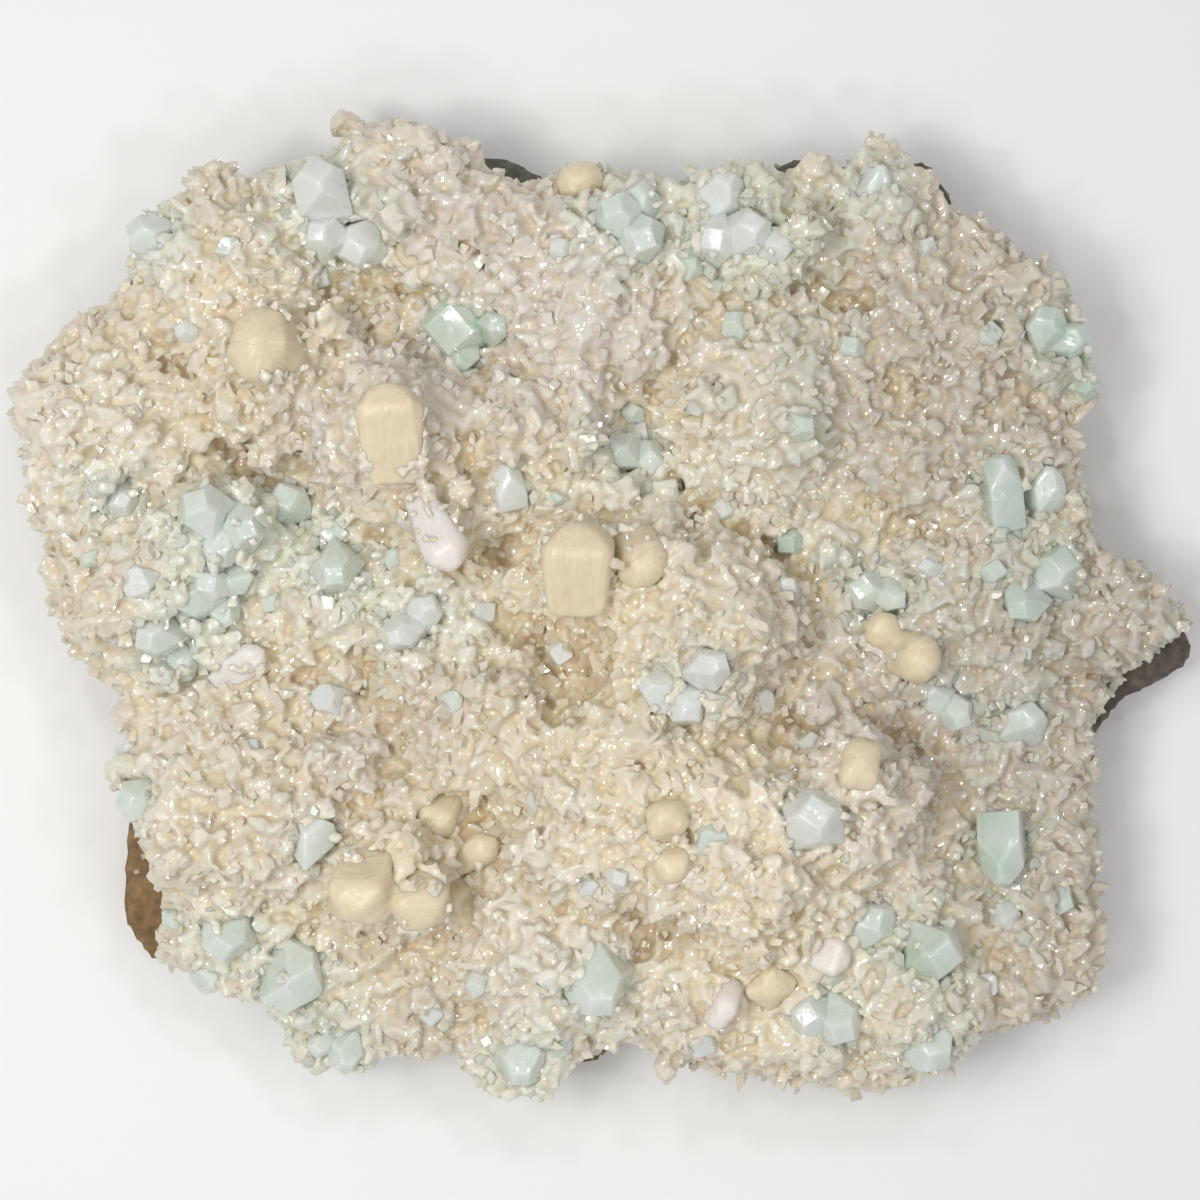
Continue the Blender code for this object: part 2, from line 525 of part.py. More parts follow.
def seen_point(body, px, py):
    """Where the line of sight through a plan pixel first meets the body."""
    eye = Vector((0, 0, EYE_HEIGHT))
    hit = body.ray_cast(eye, plan_point(px, py, 0) - eye)[0]
    return hit or plan_point(px, py, RIM_LEVEL)


def crystal_place(crystal, body):
    place = seen_point(body, crystal.px, crystal.py) + Vector((0, 0, crystal.lift * MM))
    angles = (math.radians(a) for a in (crystal.lean, crystal.toward, crystal.spin))
    return Matrix.Translation(place) @ turned(*angles)


def crystal_faces(crystal, swell=0.0):
    sizes = (crystal.width, crystal.thick, crystal.above, crystal.below)
    return HABITS[crystal.habit](*(size * MM for size in sizes), crystal.tip, swell)


def build_crystals(body, home, helpers, seats, looks):
    """Every large crystal. Those that grew into each other are one node."""
    nodes = {}
    for crystal in CRYSTALS:
        place = crystal_place(crystal, body)
        mesh = crystal_mesh(crystal.node, crystal_faces(crystal))
        seat = new_object(crystal.node + "_seat", crystal_mesh("seat", crystal_faces(crystal, GAP)), seats)
        as_cutter(seat).matrix_world = place
        material = looks["apophyllite" if crystal.node.startswith("apophyllite") else "stilbite"]
        if crystal.node not in nodes:
            nodes[crystal.node] = new_object(crystal.node, mesh, home, material)
            nodes[crystal.node].matrix_world = place
            continue
        other = as_cutter(new_object(crystal.node + "_grown_on", mesh, helpers, material))
        other.matrix_world = place
        join = nodes[crystal.node].modifiers.new("grown_together", "BOOLEAN")
        join.operation = "UNION"
        join.solver = "EXACT"
        join.object = other


def fused_sites(form, count, spacing, dice):
    """Places and normals spread over the upper side and rim of a skin."""
    form.faces.ensure_lookup_table()
    faces = [
        face
        for face in form.faces
        if face.normal.z > FUSED_STEEPEST and face.calc_center_median().z > FUSED_LOWEST
    ]
    areas = [f.calc_area() for f in faces]
    sites = []
    for _ in range(FUSED_TRIES):
        face = dice.choices(faces, areas)[0]
        a, b, c = (v.co for v in face.verts[:3])
        u, v = dice.random(), dice.random()
        if u + v > 1:
            u, v = 1 - u, 1 - v
        place = a + (b - a) * u + (c - a) * v
        if all((place - other).length > spacing for other, _ in sites):
            sites.append((place, face.normal.copy()))
        if len(sites) == count:
            break
    return sites


def fuse_small_crystals(skin, home):
    """Short thick stilbite crystals, grown at the lean of the skin under them."""
    dice = random.Random(SEED)
    form = bmesh.new()
    form.from_mesh(skin.data)
    bmesh.ops.triangulate(form, faces=form.faces)
    for place, normal in fused_sites(form, FUSED_COUNT, FUSED_SPACING, dice):
        length = dice.uniform(*FUSED_LENGTH)
        width = length * dice.uniform(*FUSED_WIDTH)
        thick = width * dice.uniform(*FUSED_THICKNESS)
        faces = chisel_faces(width, thick, length, FUSED_ROOT)
        lean = normal + Vector(dice.uniform(-FUSED_LEAN, FUSED_LEAN) for _ in range(3))
        turn = lean.to_track_quat("Z", "Y").to_matrix().to_4x4()
        spin = Matrix.Rotation(dice.uniform(0, math.tau), 4, "Z")
        crystal = as_cutter(new_object("fused_crystal", crystal_mesh("fused_crystal", faces), home))
        crystal.matrix_world = Matrix.Translation(place) @ turn @ spin
    form.free()


def boolean(obj, name, operation, group):
    cut = obj.modifiers.new(name, "BOOLEAN")
    cut.operation = operation
    cut.solver = "EXACT"
    cut.operand_type = "COLLECTION"
    cut.collection = group


def keep_largest_island(form):
    """Drops crumbs that a seat cut loose from the carpet."""
    left, islands = set(form.verts), []
    while left:
        stack, island = [left.pop()], []
        while stack:
            vert = stack.pop()
            island.append(vert)
            near = {e.other_vert(vert) for e in vert.link_edges} & left
            left -= near
            stack.extend(near)
        islands.append(island)
    islands.sort(key=len)
    for crumb in islands[:-1]:
        bmesh.ops.delete(form, geom=crumb, context="VERTS")


def finish_body(obj, material):
    body = settle(obj)
    edited(body, keep_largest_island)
    body.data.materials.clear()
    body.data.materials.append(material)


def build_skin(home, cutters):
    """The carpet's bare form: the plate and its mounds, lumped, as one closed skin."""
    slab = outline_slab("stilbite_druse", DRUSE_EDGE_PX, RIM_LEVEL, DRUSE_FOOT, DRUSE_TOP, RIM_ROUND, home)
    edited(slab, lambda form: add_mounds(form, MOUNDS))
    plate = voxelled(slab, DRUSE_VOXEL, 0)
    trim = plate.modifiers.new("trim_to_edge", "BOOLEAN")
    trim.operation = "INTERSECT"
    trim.solver = "EXACT"
    trim.object = sight_block("carpet_edge", DRUSE_EDGE_PX, 0, CUTTER_DEPTH, cutters)
    skin = voxelled(plate, DRUSE_VOXEL, SMOOTHING)
    edited(skin, swell_druse)
    return thinned(skin, DRUSE_FACES)


def build_druse(skin, helpers, cutters, seats, material):
    fused = bpy.data.collections.new("fused_crystals")
    helpers.children.link(fused)
    fuse_small_crystals(skin, fused)
    below = bpy.data.collections.new("under_the_carpet")
    cutters.children.link(below)
    seam_sheet("carpet_seam", GAP / 2, False, below)
    boolean(skin, "small_crystals", "UNION", fused)
    boolean(skin, "seam", "DIFFERENCE", below)
    boolean(skin, "seats", "DIFFERENCE", seats)
    bpy.context.view_layer.update()
    finish_body(skin, material)


def flat_back(home):
    """A block that cuts the rock off flat at the table."""
    form = bmesh.new()
    bmesh.ops.create_cube(form, size=1)
    mesh = bpy.data.meshes.new("flat_back")
    form.to_mesh(mesh)
    form.free()
    block = as_cutter(new_object("flat_back", mesh, home))
    block.scale = (CUTTER_SPAN, CUTTER_SPAN, CUTTER_DEPTH)
    block.location.z = -CUTTER_DEPTH / 2


def build_rock(home, cutters, material):
    slab = outline_slab("basalt_matrix", ROCK_EDGE_PX, ROCK_LEVEL, ROCK_FOOT, ROCK_TOP, 0, home)
    rock = voxelled(slab, ROCK_VOXEL, ROCK_SMOOTHING)
    edited(rock, roughen_rock)
    rock = thinned(rock, ROCK_FACES)
    away = bpy.data.collections.new("cut_from_the_rock")
    cutters.children.link(away)
    seam_sheet("rock_seam", -GAP / 2, True, away)
    flat_back(away)
    boolean(rock, "flat_back_and_seam", "DIFFERENCE", away)
    bpy.context.view_layer.update()
    finish_body(rock, material)


def main():
    clear_scene()
    home = new_collection("apophyllite_cluster")
    helpers = new_collection("helpers")
    cutters = new_collection("cutters")
    seats = bpy.data.collections.new("seats")
    cutters.children.link(seats)
    looks = {
        "basalt": new_material("basalt", ROCK_BROWN, 0.9),
        "stilbite": new_material("stilbite", CREAM, 0.4),
        "apophyllite": new_material("apophyllite", PALE_GREEN, 0.2, 0.5),
    }
    skin = build_skin(home, cutters)
    body = BVHTree.FromObject(skin, bpy.context.evaluated_depsgraph_get())
    build_crystals(body, home, helpers, seats, looks)
    build_rock(home, cutters, looks["basalt"])
    build_druse(skin, helpers, cutters, seats, looks["stilbite"])


main()
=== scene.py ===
"""Looks of the apophyllite cluster: small and large crystals, the rock, the light and the camera.

Everything is in metres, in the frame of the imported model: +Z up, and the rock's flat back at z = 0.
Plan pixels are places in a 1200 x 1200 picture taken from straight above.
"""

import math
from itertools import combinations
from typing import NamedTuple

import bmesh
import bpy
import numpy as np
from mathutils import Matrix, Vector, noise
from mathutils.bvhtree import BVHTree


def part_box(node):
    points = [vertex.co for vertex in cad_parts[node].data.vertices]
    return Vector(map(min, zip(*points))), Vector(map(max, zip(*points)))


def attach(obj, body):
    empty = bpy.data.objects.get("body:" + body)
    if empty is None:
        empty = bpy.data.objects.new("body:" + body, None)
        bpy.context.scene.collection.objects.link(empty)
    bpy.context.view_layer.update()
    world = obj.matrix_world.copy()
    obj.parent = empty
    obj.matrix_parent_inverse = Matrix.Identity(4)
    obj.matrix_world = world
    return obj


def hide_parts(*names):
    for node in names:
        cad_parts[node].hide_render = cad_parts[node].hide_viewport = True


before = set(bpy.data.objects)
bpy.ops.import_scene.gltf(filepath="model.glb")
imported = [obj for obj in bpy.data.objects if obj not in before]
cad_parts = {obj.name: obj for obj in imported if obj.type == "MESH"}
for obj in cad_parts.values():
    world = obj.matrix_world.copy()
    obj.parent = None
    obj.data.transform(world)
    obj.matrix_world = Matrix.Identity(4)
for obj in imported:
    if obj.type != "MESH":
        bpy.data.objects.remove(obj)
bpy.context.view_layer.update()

MM = 0.001
SEED = 7

# Camera: straight above the specimen, with the picture's middle at the height of the rim
EYE_HEIGHT = 0.950
RIM_HEIGHT = 35 * MM
FOCUS_PX = 2767.0
PLAN_CENTRE_PX = (604.0, 606.0)
PICTURE_PX = 1200
SENSOR_MM = 36.0

# The carpet's ground: its grain, how far it lies inside the solid, its usual height,
# and how far from a large crystal it starts to swell
GROUND_VOXEL = 1.98 * MM
INSET = 1.0 * MM
SIDE_INSET = 1.4 * MM
CRUST_HEIGHT = 45 * MM
SEAT_REACH = 2.5 * MM

# Width and height of the ground's lumps
SWELLS = [(21 * MM, 4.5 * MM), (11 * MM, 2.6 * MM), (5.5 * MM, 1.0 * MM)]

# Rounds of smoothing that find the ground's slopes, level places, rim and hollows
SLOPE_ROUNDS = 6
LEVEL_ROUNDS = 90
RIM_ROUNDS = 24
RECESS_ROUNDS = 160
# Depth of a hollow at which its painted shade is full
RECESS_DEPTH = 6 * MM

# The carpet's fused skin: its grain, its creases, where shade is painted amber and the crests painted
# lighter, and how near the rock it is left open
CARPET_VOXEL = 1.0 * MM
CREASE_ROUNDS = 14
# Depth of a crease at which its painted shade is full
CREASE_DEPTH = 0.55 * MM
HIDDEN_GAP = 1.2 * MM

# The share of its length by which a small crystal is sunk into the ground
SUNK = 0.08

# The large crystals: wear of the edges, form of the sheaves, and reach of a colour of their own
EDGE_WEAR = 0.6 * MM
SHEAF_VOXEL = 1.0 * MM
SHEAF_ROUNDS = 8
SHEAF_SWELL = 0.5 * MM
TINT_REACH_PX = 34

# The rock: its grain, and the height under which it is its flat back
ROCK_VOXEL = 2.8 * MM
FLAT_BACK = 0.4 * MM

# How light passes through the minerals
STILBITE_IOR = 1.5
APOPHYLLITE_IOR = 1.535
APOPHYLLITE_CLEAR = 0.12
ABSORPTION_COLOUR = (0.7, 0.96, 0.86, 1)
ABSORPTION_DENSITY = 3.0
GLOSS_IOR = 1.5

# Light: the sky, a broad lamp at the left and a ring of small lamps
SKY_COLOUR = (1, 0.99, 0.98, 1)
SKY_STRENGTH = 0.36
KEY_PLACE = (-0.42, -0.05, 1.05)
KEY_SIZE = 0.35
KEY_POWER = 4.0
KEY_COLOUR = (1, 0.98, 0.95)
RING_LAMPS = 8
RING_RADIUS = 0.55
RING_HEIGHT = 1.15
RING_SIZE = 0.08
RING_POWER = 0.72


def srgb(red, green, blue):
    """A colour as seen on screen, from 0 to 255, in linear light."""
    shares = np.array([red, green, blue]) / 255
    return np.where(shares <= 0.04045, shares / 12.92, ((shares + 0.055) / 1.055) ** 2.4)


CREAM = srgb(221, 211, 189)
IVORY = srgb(229, 224, 211)
SUGAR = srgb(214, 208, 202)
PEACH = srgb(232, 219, 192)
MINT = srgb(225, 235, 226)
GREEN = srgb(206, 222, 209)
FROST = srgb(236, 240, 236)
SILK = srgb(240, 234, 230)
# Painted shade for the right side and the low places
PAINTED_SHADE_GREY = srgb(186, 179, 167)
# Painted shade in the creases between crystals
CREASE_SHADE_AMBER = np.array([0.96, 0.91, 0.82])
# Painted shade in the ground's hollows: ochre, and brown where they lie deepest
HOLLOW_SHADE_OCHRE = srgb(216, 200, 166)
DEEP_SHADE_BROWN = srgb(176, 150, 108)
ROCK_BROWN = srgb(150, 122, 84)
ROCK_GREEN = srgb(118, 120, 108)
ROCK_GREY = srgb(112, 104, 98)


class Patch(NamedTuple):
    """A zone of the carpet with a colour, its own or painted light and shade: plan place, radius in plan
    pixels, and strength.
    """

    px: float
    py: float
    radius: float
    colour: tuple
    strength: float


# Colour zones of the carpet. The grey ones are painted shade, on the right side and in low places where
# less light falls; the ivory, peach and cream ones at the left and the bottom centre are partly painted
# light and partly the crystals' own colour.
PATCHES = [
    Patch(970, 330, 190, PAINTED_SHADE_GREY, 0.55), Patch(1010, 780, 190, PAINTED_SHADE_GREY, 0.3),
    Patch(1110, 640, 80, PAINTED_SHADE_GREY, 0.4),
    Patch(325, 215, 64, MINT, 0.48), Patch(160, 240, 34, MINT, 0.54), Patch(455, 330, 47, GREEN, 0.36),
    Patch(110, 495, 42, MINT, 0.48), Patch(225, 525, 51, MINT, 0.51), Patch(300, 520, 47, MINT, 0.42),
    Patch(345, 585, 51, MINT, 0.45), Patch(200, 600, 64, MINT, 0.48), Patch(170, 655, 38, MINT, 0.42),
    Patch(420, 620, 47, MINT, 0.36), Patch(480, 600, 51, MINT, 0.24), Patch(615, 465, 64, MINT, 0.36),
    Patch(640, 225, 60, MINT, 0.45), Patch(745, 225, 68, GREEN, 0.36), Patch(870, 190, 42, MINT, 0.36),
    Patch(780, 330, 76, MINT, 0.21), Patch(770, 480, 76, MINT, 0.24), Patch(870, 590, 60, MINT, 0.36),
    Patch(935, 600, 51, MINT, 0.3), Patch(1040, 575, 47, GREEN, 0.3), Patch(1005, 500, 38, MINT, 0.36),
    Patch(1065, 345, 42, GREEN, 0.36), Patch(690, 680, 51, GREEN, 0.3), Patch(945, 695, 47, GREEN, 0.24),
    Patch(1015, 720, 42, MINT, 0.3), Patch(1000, 850, 51, GREEN, 0.36), Patch(715, 830, 38, MINT, 0.42),
    Patch(815, 815, 50, FROST, 0.5), Patch(870, 925, 51, MINT, 0.36), Patch(925, 950, 51, GREEN, 0.3),
    Patch(820, 1010, 55, MINT, 0.36), Patch(940, 1045, 42, MINT, 0.36), Patch(600, 985, 60, MINT, 0.36),
    Patch(520, 1065, 47, MINT, 0.42), Patch(345, 1050, 42, MINT, 0.48), Patch(295, 980, 60, MINT, 0.42),
    Patch(225, 935, 47, MINT, 0.36), Patch(310, 850, 50, FROST, 0.6), Patch(135, 790, 38, MINT, 0.36),
    Patch(1000, 700, 150, PAINTED_SHADE_GREY, 0.6), Patch(1020, 900, 130, PAINTED_SHADE_GREY, 0.45),
    Patch(930, 380, 120, PAINTED_SHADE_GREY, 0.35), Patch(1110, 620, 80, PAINTED_SHADE_GREY, 0.5),
    Patch(430, 960, 90, PAINTED_SHADE_GREY, 0.35), Patch(390, 740, 70, PAINTED_SHADE_GREY, 0.3),
    Patch(60, 450, 70, IVORY, 0.6), Patch(430, 180, 70, SUGAR, 0.5), Patch(430, 390, 60, SUGAR, 0.9),
    Patch(560, 950, 110, IVORY, 0.7), Patch(560, 310, 120, SUGAR, 0.6), Patch(170, 770, 60, IVORY, 0.5),
    Patch(330, 445, 45, SUGAR, 0.7), Patch(350, 750, 50, SUGAR, 0.6), Patch(840, 720, 70, SUGAR, 0.6),
    Patch(320, 400, 50, SUGAR, 0.4), Patch(700, 890, 50, SUGAR, 0.6), Patch(860, 860, 60, IVORY, 0.6),
    Patch(760, 870, 130, PEACH, 0.5), Patch(650, 780, 120, PEACH, 0.35), Patch(580, 600, 70, PEACH, 0.5),
    Patch(400, 880, 90, PEACH, 0.6), Patch(270, 350, 70, PEACH, 0.4), Patch(400, 440, 60, PEACH, 0.5),
    Patch(780, 970, 60, PEACH, 0.5), Patch(540, 520, 80, PEACH, 0.3), Patch(240, 790, 100, CREAM, 0.6),
]

# Large crystals that differ from the rest, by the plan place nearest to them
CRYSTAL_TINTS = [
    (320, 200, FROST), (722, 215, FROST), (812, 817, FROST), (1003, 916, FROST), (311, 843, FROST),
    (295, 975, MINT), (508, 486, FROST), (660, 690, FROST), (415, 622, FROST), (103, 490, FROST),
    (454, 330, GREEN), (1000, 848, GREEN), (1056, 332, GREEN), (1040, 585, GREEN), (928, 946, GREEN),
    (1000, 492, GREEN), (630, 220, MINT), (520, 1064, MINT), (600, 985, MINT), (870, 921, MINT),
]
SILKY_NODES = (
    "stilbite_silky_blade", "stilbite_fibrous_blade", "stilbite_step_block", "stilbite_diamond",
)


class Single(NamedTuple):
    """A crystal of middling size: its plan place, width in mm, colour, and the bearing it leans to."""

    px: float
    py: float
    width: float
    colour: tuple
    toward: float


SINGLES = [
    Single(318, 277, 10, FROST, 250), Single(230, 248, 9, MINT, 120), Single(280, 388, 8, FROST, 270),
    Single(132, 412, 7, MINT, 200), Single(362, 580, 8, FROST, 20), Single(140, 580, 12, FROST, 160),
    Single(480, 615, 9, FROST, 60), Single(555, 500, 9, MINT, 90), Single(130, 755, 9, FROST, 170),
    Single(165, 920, 9, MINT, 200), Single(180, 934, 7, FROST, 240), Single(206, 978, 11, MINT, 250),
    Single(590, 885, 8, FROST, 200), Single(617, 877, 8, FROST, 20), Single(538, 800, 9, FROST, 120),
    Single(690, 260, 11, MINT, 210), Single(632, 415, 8, MINT, 90), Single(930, 570, 9, FROST, 100),
    Single(990, 570, 10, MINT, 80), Single(785, 590, 11, FROST, 265), Single(715, 835, 12, MINT, 280),
    Single(810, 745, 9, FROST, 350), Single(1085, 385, 9, GREEN, 10), Single(1020, 650, 10, FROST, 180),
    Single(740, 330, 11, MINT, 120), Single(800, 425, 12, MINT, 40), Single(728, 505, 10, FROST, 200),
    Single(850, 350, 9, MINT, 80), Single(702, 402, 9, FROST, 150), Single(792, 540, 10, GREEN, 260),
    Single(872, 480, 9, MINT, 330), Single(925, 250, 9, FROST, 70), Single(985, 335, 9, MINT, 30),
    Single(560, 250, 8, FROST, 100), Single(470, 260, 8, MINT, 220), Single(190, 330, 8, FROST, 130),
    Single(75, 410, 8, FROST, 170), Single(95, 560, 9, MINT, 190), Single(250, 750, 8, FROST, 60),
    Single(330, 700, 9, FROST, 110), Single(450, 700, 8, MINT, 20), Single(560, 650, 8, FROST, 260),
    Single(760, 700, 8, FROST, 30), Single(1050, 650, 9, MINT, 320), Single(1060, 900, 9, MINT, 340),
    Single(985, 985, 9, FROST, 300), Single(480, 980, 9, FROST, 250), Single(430, 1010, 8, FROST, 270),
    Single(560, 1040, 9, MINT, 260), Single(700, 1040, 9, FROST, 265), Single(395, 560, 9, MINT, 150),
    Single(275, 600, 9, MINT, 300), Single(345, 290, 8, FROST, 30), Single(410, 520, 8, FROST, 100),
]

# Where the bare rock shows: plan place, radius in plan pixels, and colour
ROCK_PATCHES = [
    Patch(140, 880, 130, ROCK_BROWN, 1.0), Patch(480, 150, 120, ROCK_GREEN, 0.9),
    Patch(850, 170, 140, ROCK_GREY, 0.8), Patch(1150, 690, 110, ROCK_GREY, 0.8),
]


class Sowing(NamedTuple):
    """One kind of small crystal, and how it is sown.

    How many places are tried and how far apart they stay, the least and greatest length, the least
    and greatest width as a share of the length, how far the crystals lean, and how far their
    colours vary.
    """

    tries: int
    spacing: float
    length: tuple
    slim: tuple
    lean: float
    vary: float = 0.0


ROSETTES = Sowing(1800, 12 * MM, (4.5 * MM, 12 * MM), (0.5, 0.8), 0.08, 0.02)
CRYSTALS = Sowing(18000, 3.6 * MM, (4.0 * MM, 12 * MM), (0.6, 0.95), 0.4, 0.025)
GRAINS = Sowing(15000, 2.2 * MM, (2.8 * MM, 6.2 * MM), (0.7, 1.0), 0.45, 0.03)
POINTS = Sowing(4600, 3.0 * MM, (2.0 * MM, 5.5 * MM), (0.6, 0.9), 0.35, 0.03)
FOOT_CRUST = Sowing(2600, 2.6 * MM, (2.4 * MM, 6.0 * MM), (0.7, 1.0), 0.3)
SATELLITES = Sowing(24000, 4.6 * MM, (4 * MM, 8.5 * MM), (0.8, 1.0), 0.35, 0.03)
ROCK_GRAINS = Sowing(1600, 1.8 * MM, (1.4 * MM, 3.0 * MM), (0.7, 1.0), 0.4)

# Blades in each rosette, how far they fan out, and how deep their common root lies
ROSETTE_BLADES = 11
ROSETTE_SPREAD = math.radians(65)
ROSETTE_ROOT = 2.6 * MM


class Ground(NamedTuple):
    """A triangle surface that crystals grow on: how deep each vertex lies, and how level it is."""

    verts: np.ndarray
    tris: np.ndarray
    normals: np.ndarray
    recess: np.ndarray
    level: np.ndarray


class Growth(NamedTuple):
    """Places where crystals grow: point, outward direction, how deep it lies and how level it is."""

    place: np.ndarray
    normal: np.ndarray
    recess: np.ndarray
    level: np.ndarray


class Skin(NamedTuple):
    """Triangles with a colour and a soft normal at each vertex."""

    verts: np.ndarray
    tris: np.ndarray
    tints: np.ndarray
    soft: np.ndarray


def unit(vectors):
    return vectors / np.maximum(np.linalg.norm(vectors, axis=-1, keepdims=True), 1e-12)


def plan_pixels(points):
    """Where the eye above sees these points, in plan pixels."""
    away = FOCUS_PX / (EYE_HEIGHT - points[:, 2])
    return np.stack(
        [PLAN_CENTRE_PX[0] + points[:, 0] * away, PLAN_CENTRE_PX[1] - points[:, 1] * away], axis=1
    )


def sight(px, py):
    """The direction in which the eye above sees a plan pixel."""
    return Vector(((px - PLAN_CENTRE_PX[0]) / FOCUS_PX, (PLAN_CENTRE_PX[1] - py) / FOCUS_PX, -1))


def landing(skin, px, py):
    """The point and normal of the skin that the eye sees at a plan pixel, or the nearest to it."""
    eye = Vector((0, 0, EYE_HEIGHT))
    place, normal, _, _ = skin.ray_cast(eye, sight(px, py))
    if place is None:
        place, normal, _, _ = skin.find_nearest(eye + sight(px, py) * (EYE_HEIGHT - CRUST_HEIGHT))
    return place, normal


def mesh_arrays(mesh):
    mesh.calc_loop_triangles()
    verts = np.empty(len(mesh.vertices) * 3, np.float32)
    mesh.vertices.foreach_get("co", verts)
    tris = np.empty(len(mesh.loop_triangles) * 3, np.int32)
    mesh.loop_triangles.foreach_get("vertices", tris)
    return verts.reshape(-1, 3).astype(float), tris.reshape(-1, 3)


def tree_of(verts, tris):
    """A search tree for the nearest point of these triangles."""
    return BVHTree.FromPolygons(verts.tolist(), tris.tolist())


def evaluated_mesh(obj):
    bpy.context.view_layer.update()
    graph = bpy.context.evaluated_depsgraph_get()
    return bpy.data.meshes.new_from_object(obj.evaluated_get(graph))


def new_piece(name, mesh, material, nodes=()):
    """An object of the model: it rides on the one body and stands for these nodes."""
    obj = bpy.data.objects.new(name, mesh)
    bpy.context.scene.collection.objects.link(obj)
    mesh.materials.clear()
    mesh.materials.append(material)
    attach(obj, "root")
    if nodes:
        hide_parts(*nodes)
    return obj


def triangle_mesh(name, verts, tris):
    mesh = bpy.data.meshes.new(name)
    mesh.vertices.add(len(verts))
    mesh.vertices.foreach_set("co", verts.astype(np.float32).ravel())
    mesh.loops.add(tris.size)
    mesh.loops.foreach_set("vertex_index", tris.astype(np.int32).ravel())
    mesh.polygons.add(len(tris))
    mesh.polygons.foreach_set("loop_start", np.arange(0, tris.size, 3, dtype=np.int32))
    mesh.update(calc_edges=True)
    return mesh


def paint(mesh, colours):
    """Stores one colour for each vertex."""
    layer = mesh.color_attributes.new("tint", "FLOAT_COLOR", "POINT")
    alpha = np.ones((len(colours), 1))
    layer.data.foreach_set("color", np.hstack([colours, alpha]).astype(np.float32).ravel())


def keep_vectors(mesh, name, vectors):
    """Stores one vector for each vertex."""
    layer = mesh.attributes.new(name, "FLOAT_VECTOR", "POINT")
    layer.data.foreach_set("vector", vectors.astype(np.float32).ravel())


def vertex_normals(verts, tris):
    corner = verts[tris]
    across = np.cross(corner[:, 1] - corner[:, 0], corner[:, 2] - corner[:, 0])
    normals = np.zeros_like(verts)
    for k in range(3):
        np.add.at(normals, tris[:, k], across)
    return unit(normals)


def smoothed(verts, tris, rounds):
    """The vertices after sharing places with their neighbours this many times."""
    ends = np.concatenate([tris[:, [0, 1]], tris[:, [1, 2]], tris[:, [2, 0]]])
    ends = np.concatenate([ends, ends[:, ::-1]])
    degree = np.bincount(ends[:, 0], minlength=len(verts))[:, None]
    place = verts.copy()
    for _ in range(rounds):
        total = np.stack(
            [np.bincount(ends[:, 0], place[ends[:, 1], k], len(verts)) for k in range(3)], axis=1
        )
        place = 0.5 * place + 0.5 * total / degree
    return place


def remeshed(mesh, voxel):
    """The mesh as one skin of even grain."""
    obj = bpy.data.objects.new("remesh", mesh.copy())
    bpy.context.scene.collection.objects.link(obj)
    remesh = obj.modifiers.new("skin", "REMESH")
    remesh.mode = "VOXEL"
    remesh.voxel_size = voxel
    made = evaluated_mesh(obj)
    bpy.data.objects.remove(obj)
    return made


def cell_swell(points, width):
    """A value for each point: 1 at the middle of a rounded cell, and 0 or less in the creases."""
    return np.array([1 - 1.6 * noise.voronoi(Vector(point) / width)[0][0] for point in points])


def wave(points, width, shift=0.0):
    """Soft noise for each point, from about -1 to 1, whose features are this wide."""
    offset = Vector((shift, shift, shift))
    return np.array([noise.noise(Vector(point) / width + offset) for point in points])


def blended(colour, patches, seen, ragged):
    """The colours after each patch has tinted the points that lie in it."""
    for patch in patches:
        gap = np.hypot(seen[:, 0] - patch.px, seen[:, 1] - patch.py) / patch.radius
        share = patch.strength * np.clip(1.5 - gap * ragged, 0, 1)[:, None]
        colour = colour * (1 - share) + np.asarray(patch.colour) * share
    return colour


def plan_colour(points):
    """The colour of the small crystals at these points, from the patches."""
    ragged = 1 + 0.4 * wave(points, 11 * MM, 3.7)
    return blended(np.tile(CREAM, (len(points), 1)), PATCHES, plan_pixels(points), ragged)


# Shapes of single crystals, about one unit long, with a flat root under z = 0

def corner_points(faces):
    """The corners of the solid that lies inside these faces, each a normal and its distance."""
    normals = unit(np.array([normal for normal, _ in faces], float))
    reach = np.array([distance for _, distance in faces])
    found = []
    for trio in combinations(range(len(faces)), 3):
        matrix = normals[list(trio)]
        if abs(np.linalg.det(matrix)) < 1e-6:
            continue
        corner = np.linalg.solve(matrix, reach[list(trio)])
        if (normals @ corner <= reach + 1e-7).all():
            found.append(corner)
    return found


def hull_arrays(points):
    form = bmesh.new()
    for point in points:
        form.verts.new(point)
    bmesh.ops.remove_doubles(form, verts=form.verts, dist=0.02)
    hull = bmesh.ops.convex_hull(form, input=form.verts)
    inside = [v for v in hull["geom_interior"] if isinstance(v, bmesh.types.BMVert)]
    bmesh.ops.delete(form, geom=inside, context="VERTS")
    bmesh.ops.recalc_face_normals(form, faces=form.faces)
    bmesh.ops.triangulate(form, faces=form.faces)
    form.verts.index_update()
    verts = np.array([v.co[:] for v in form.verts])
    tris = np.array([[v.index for v in f.verts] for f in form.faces])
    form.free()
    return verts, tris


def tablet(rng):
    """A stilbite crystal: a flat blade that widens upwards, with bevelled corners and a roofed end."""
    roof = math.radians(rng.uniform(5, 28))
    skew = rng.uniform(-0.25, 0.25)
    flare = rng.uniform(-0.05, 0.15)
    faces = [((0, 0, -1), 0.35)]
    faces += [((side, 0, -flare), 0.5) for side in (1, -1)]
    faces += [((0, side, -flare), 0.5) for side in (1, -1)]
    rise = math.cos(roof)
    faces += [((side * math.sin(roof), skew, rise), 0.75 * rise) for side in (1, -1)]
    faces += [((i, j, rng.uniform(0.2, 0.7)), 0.6) for i in (1, -1) for j in (1, -1)]
    return hull_arrays(corner_points(faces))


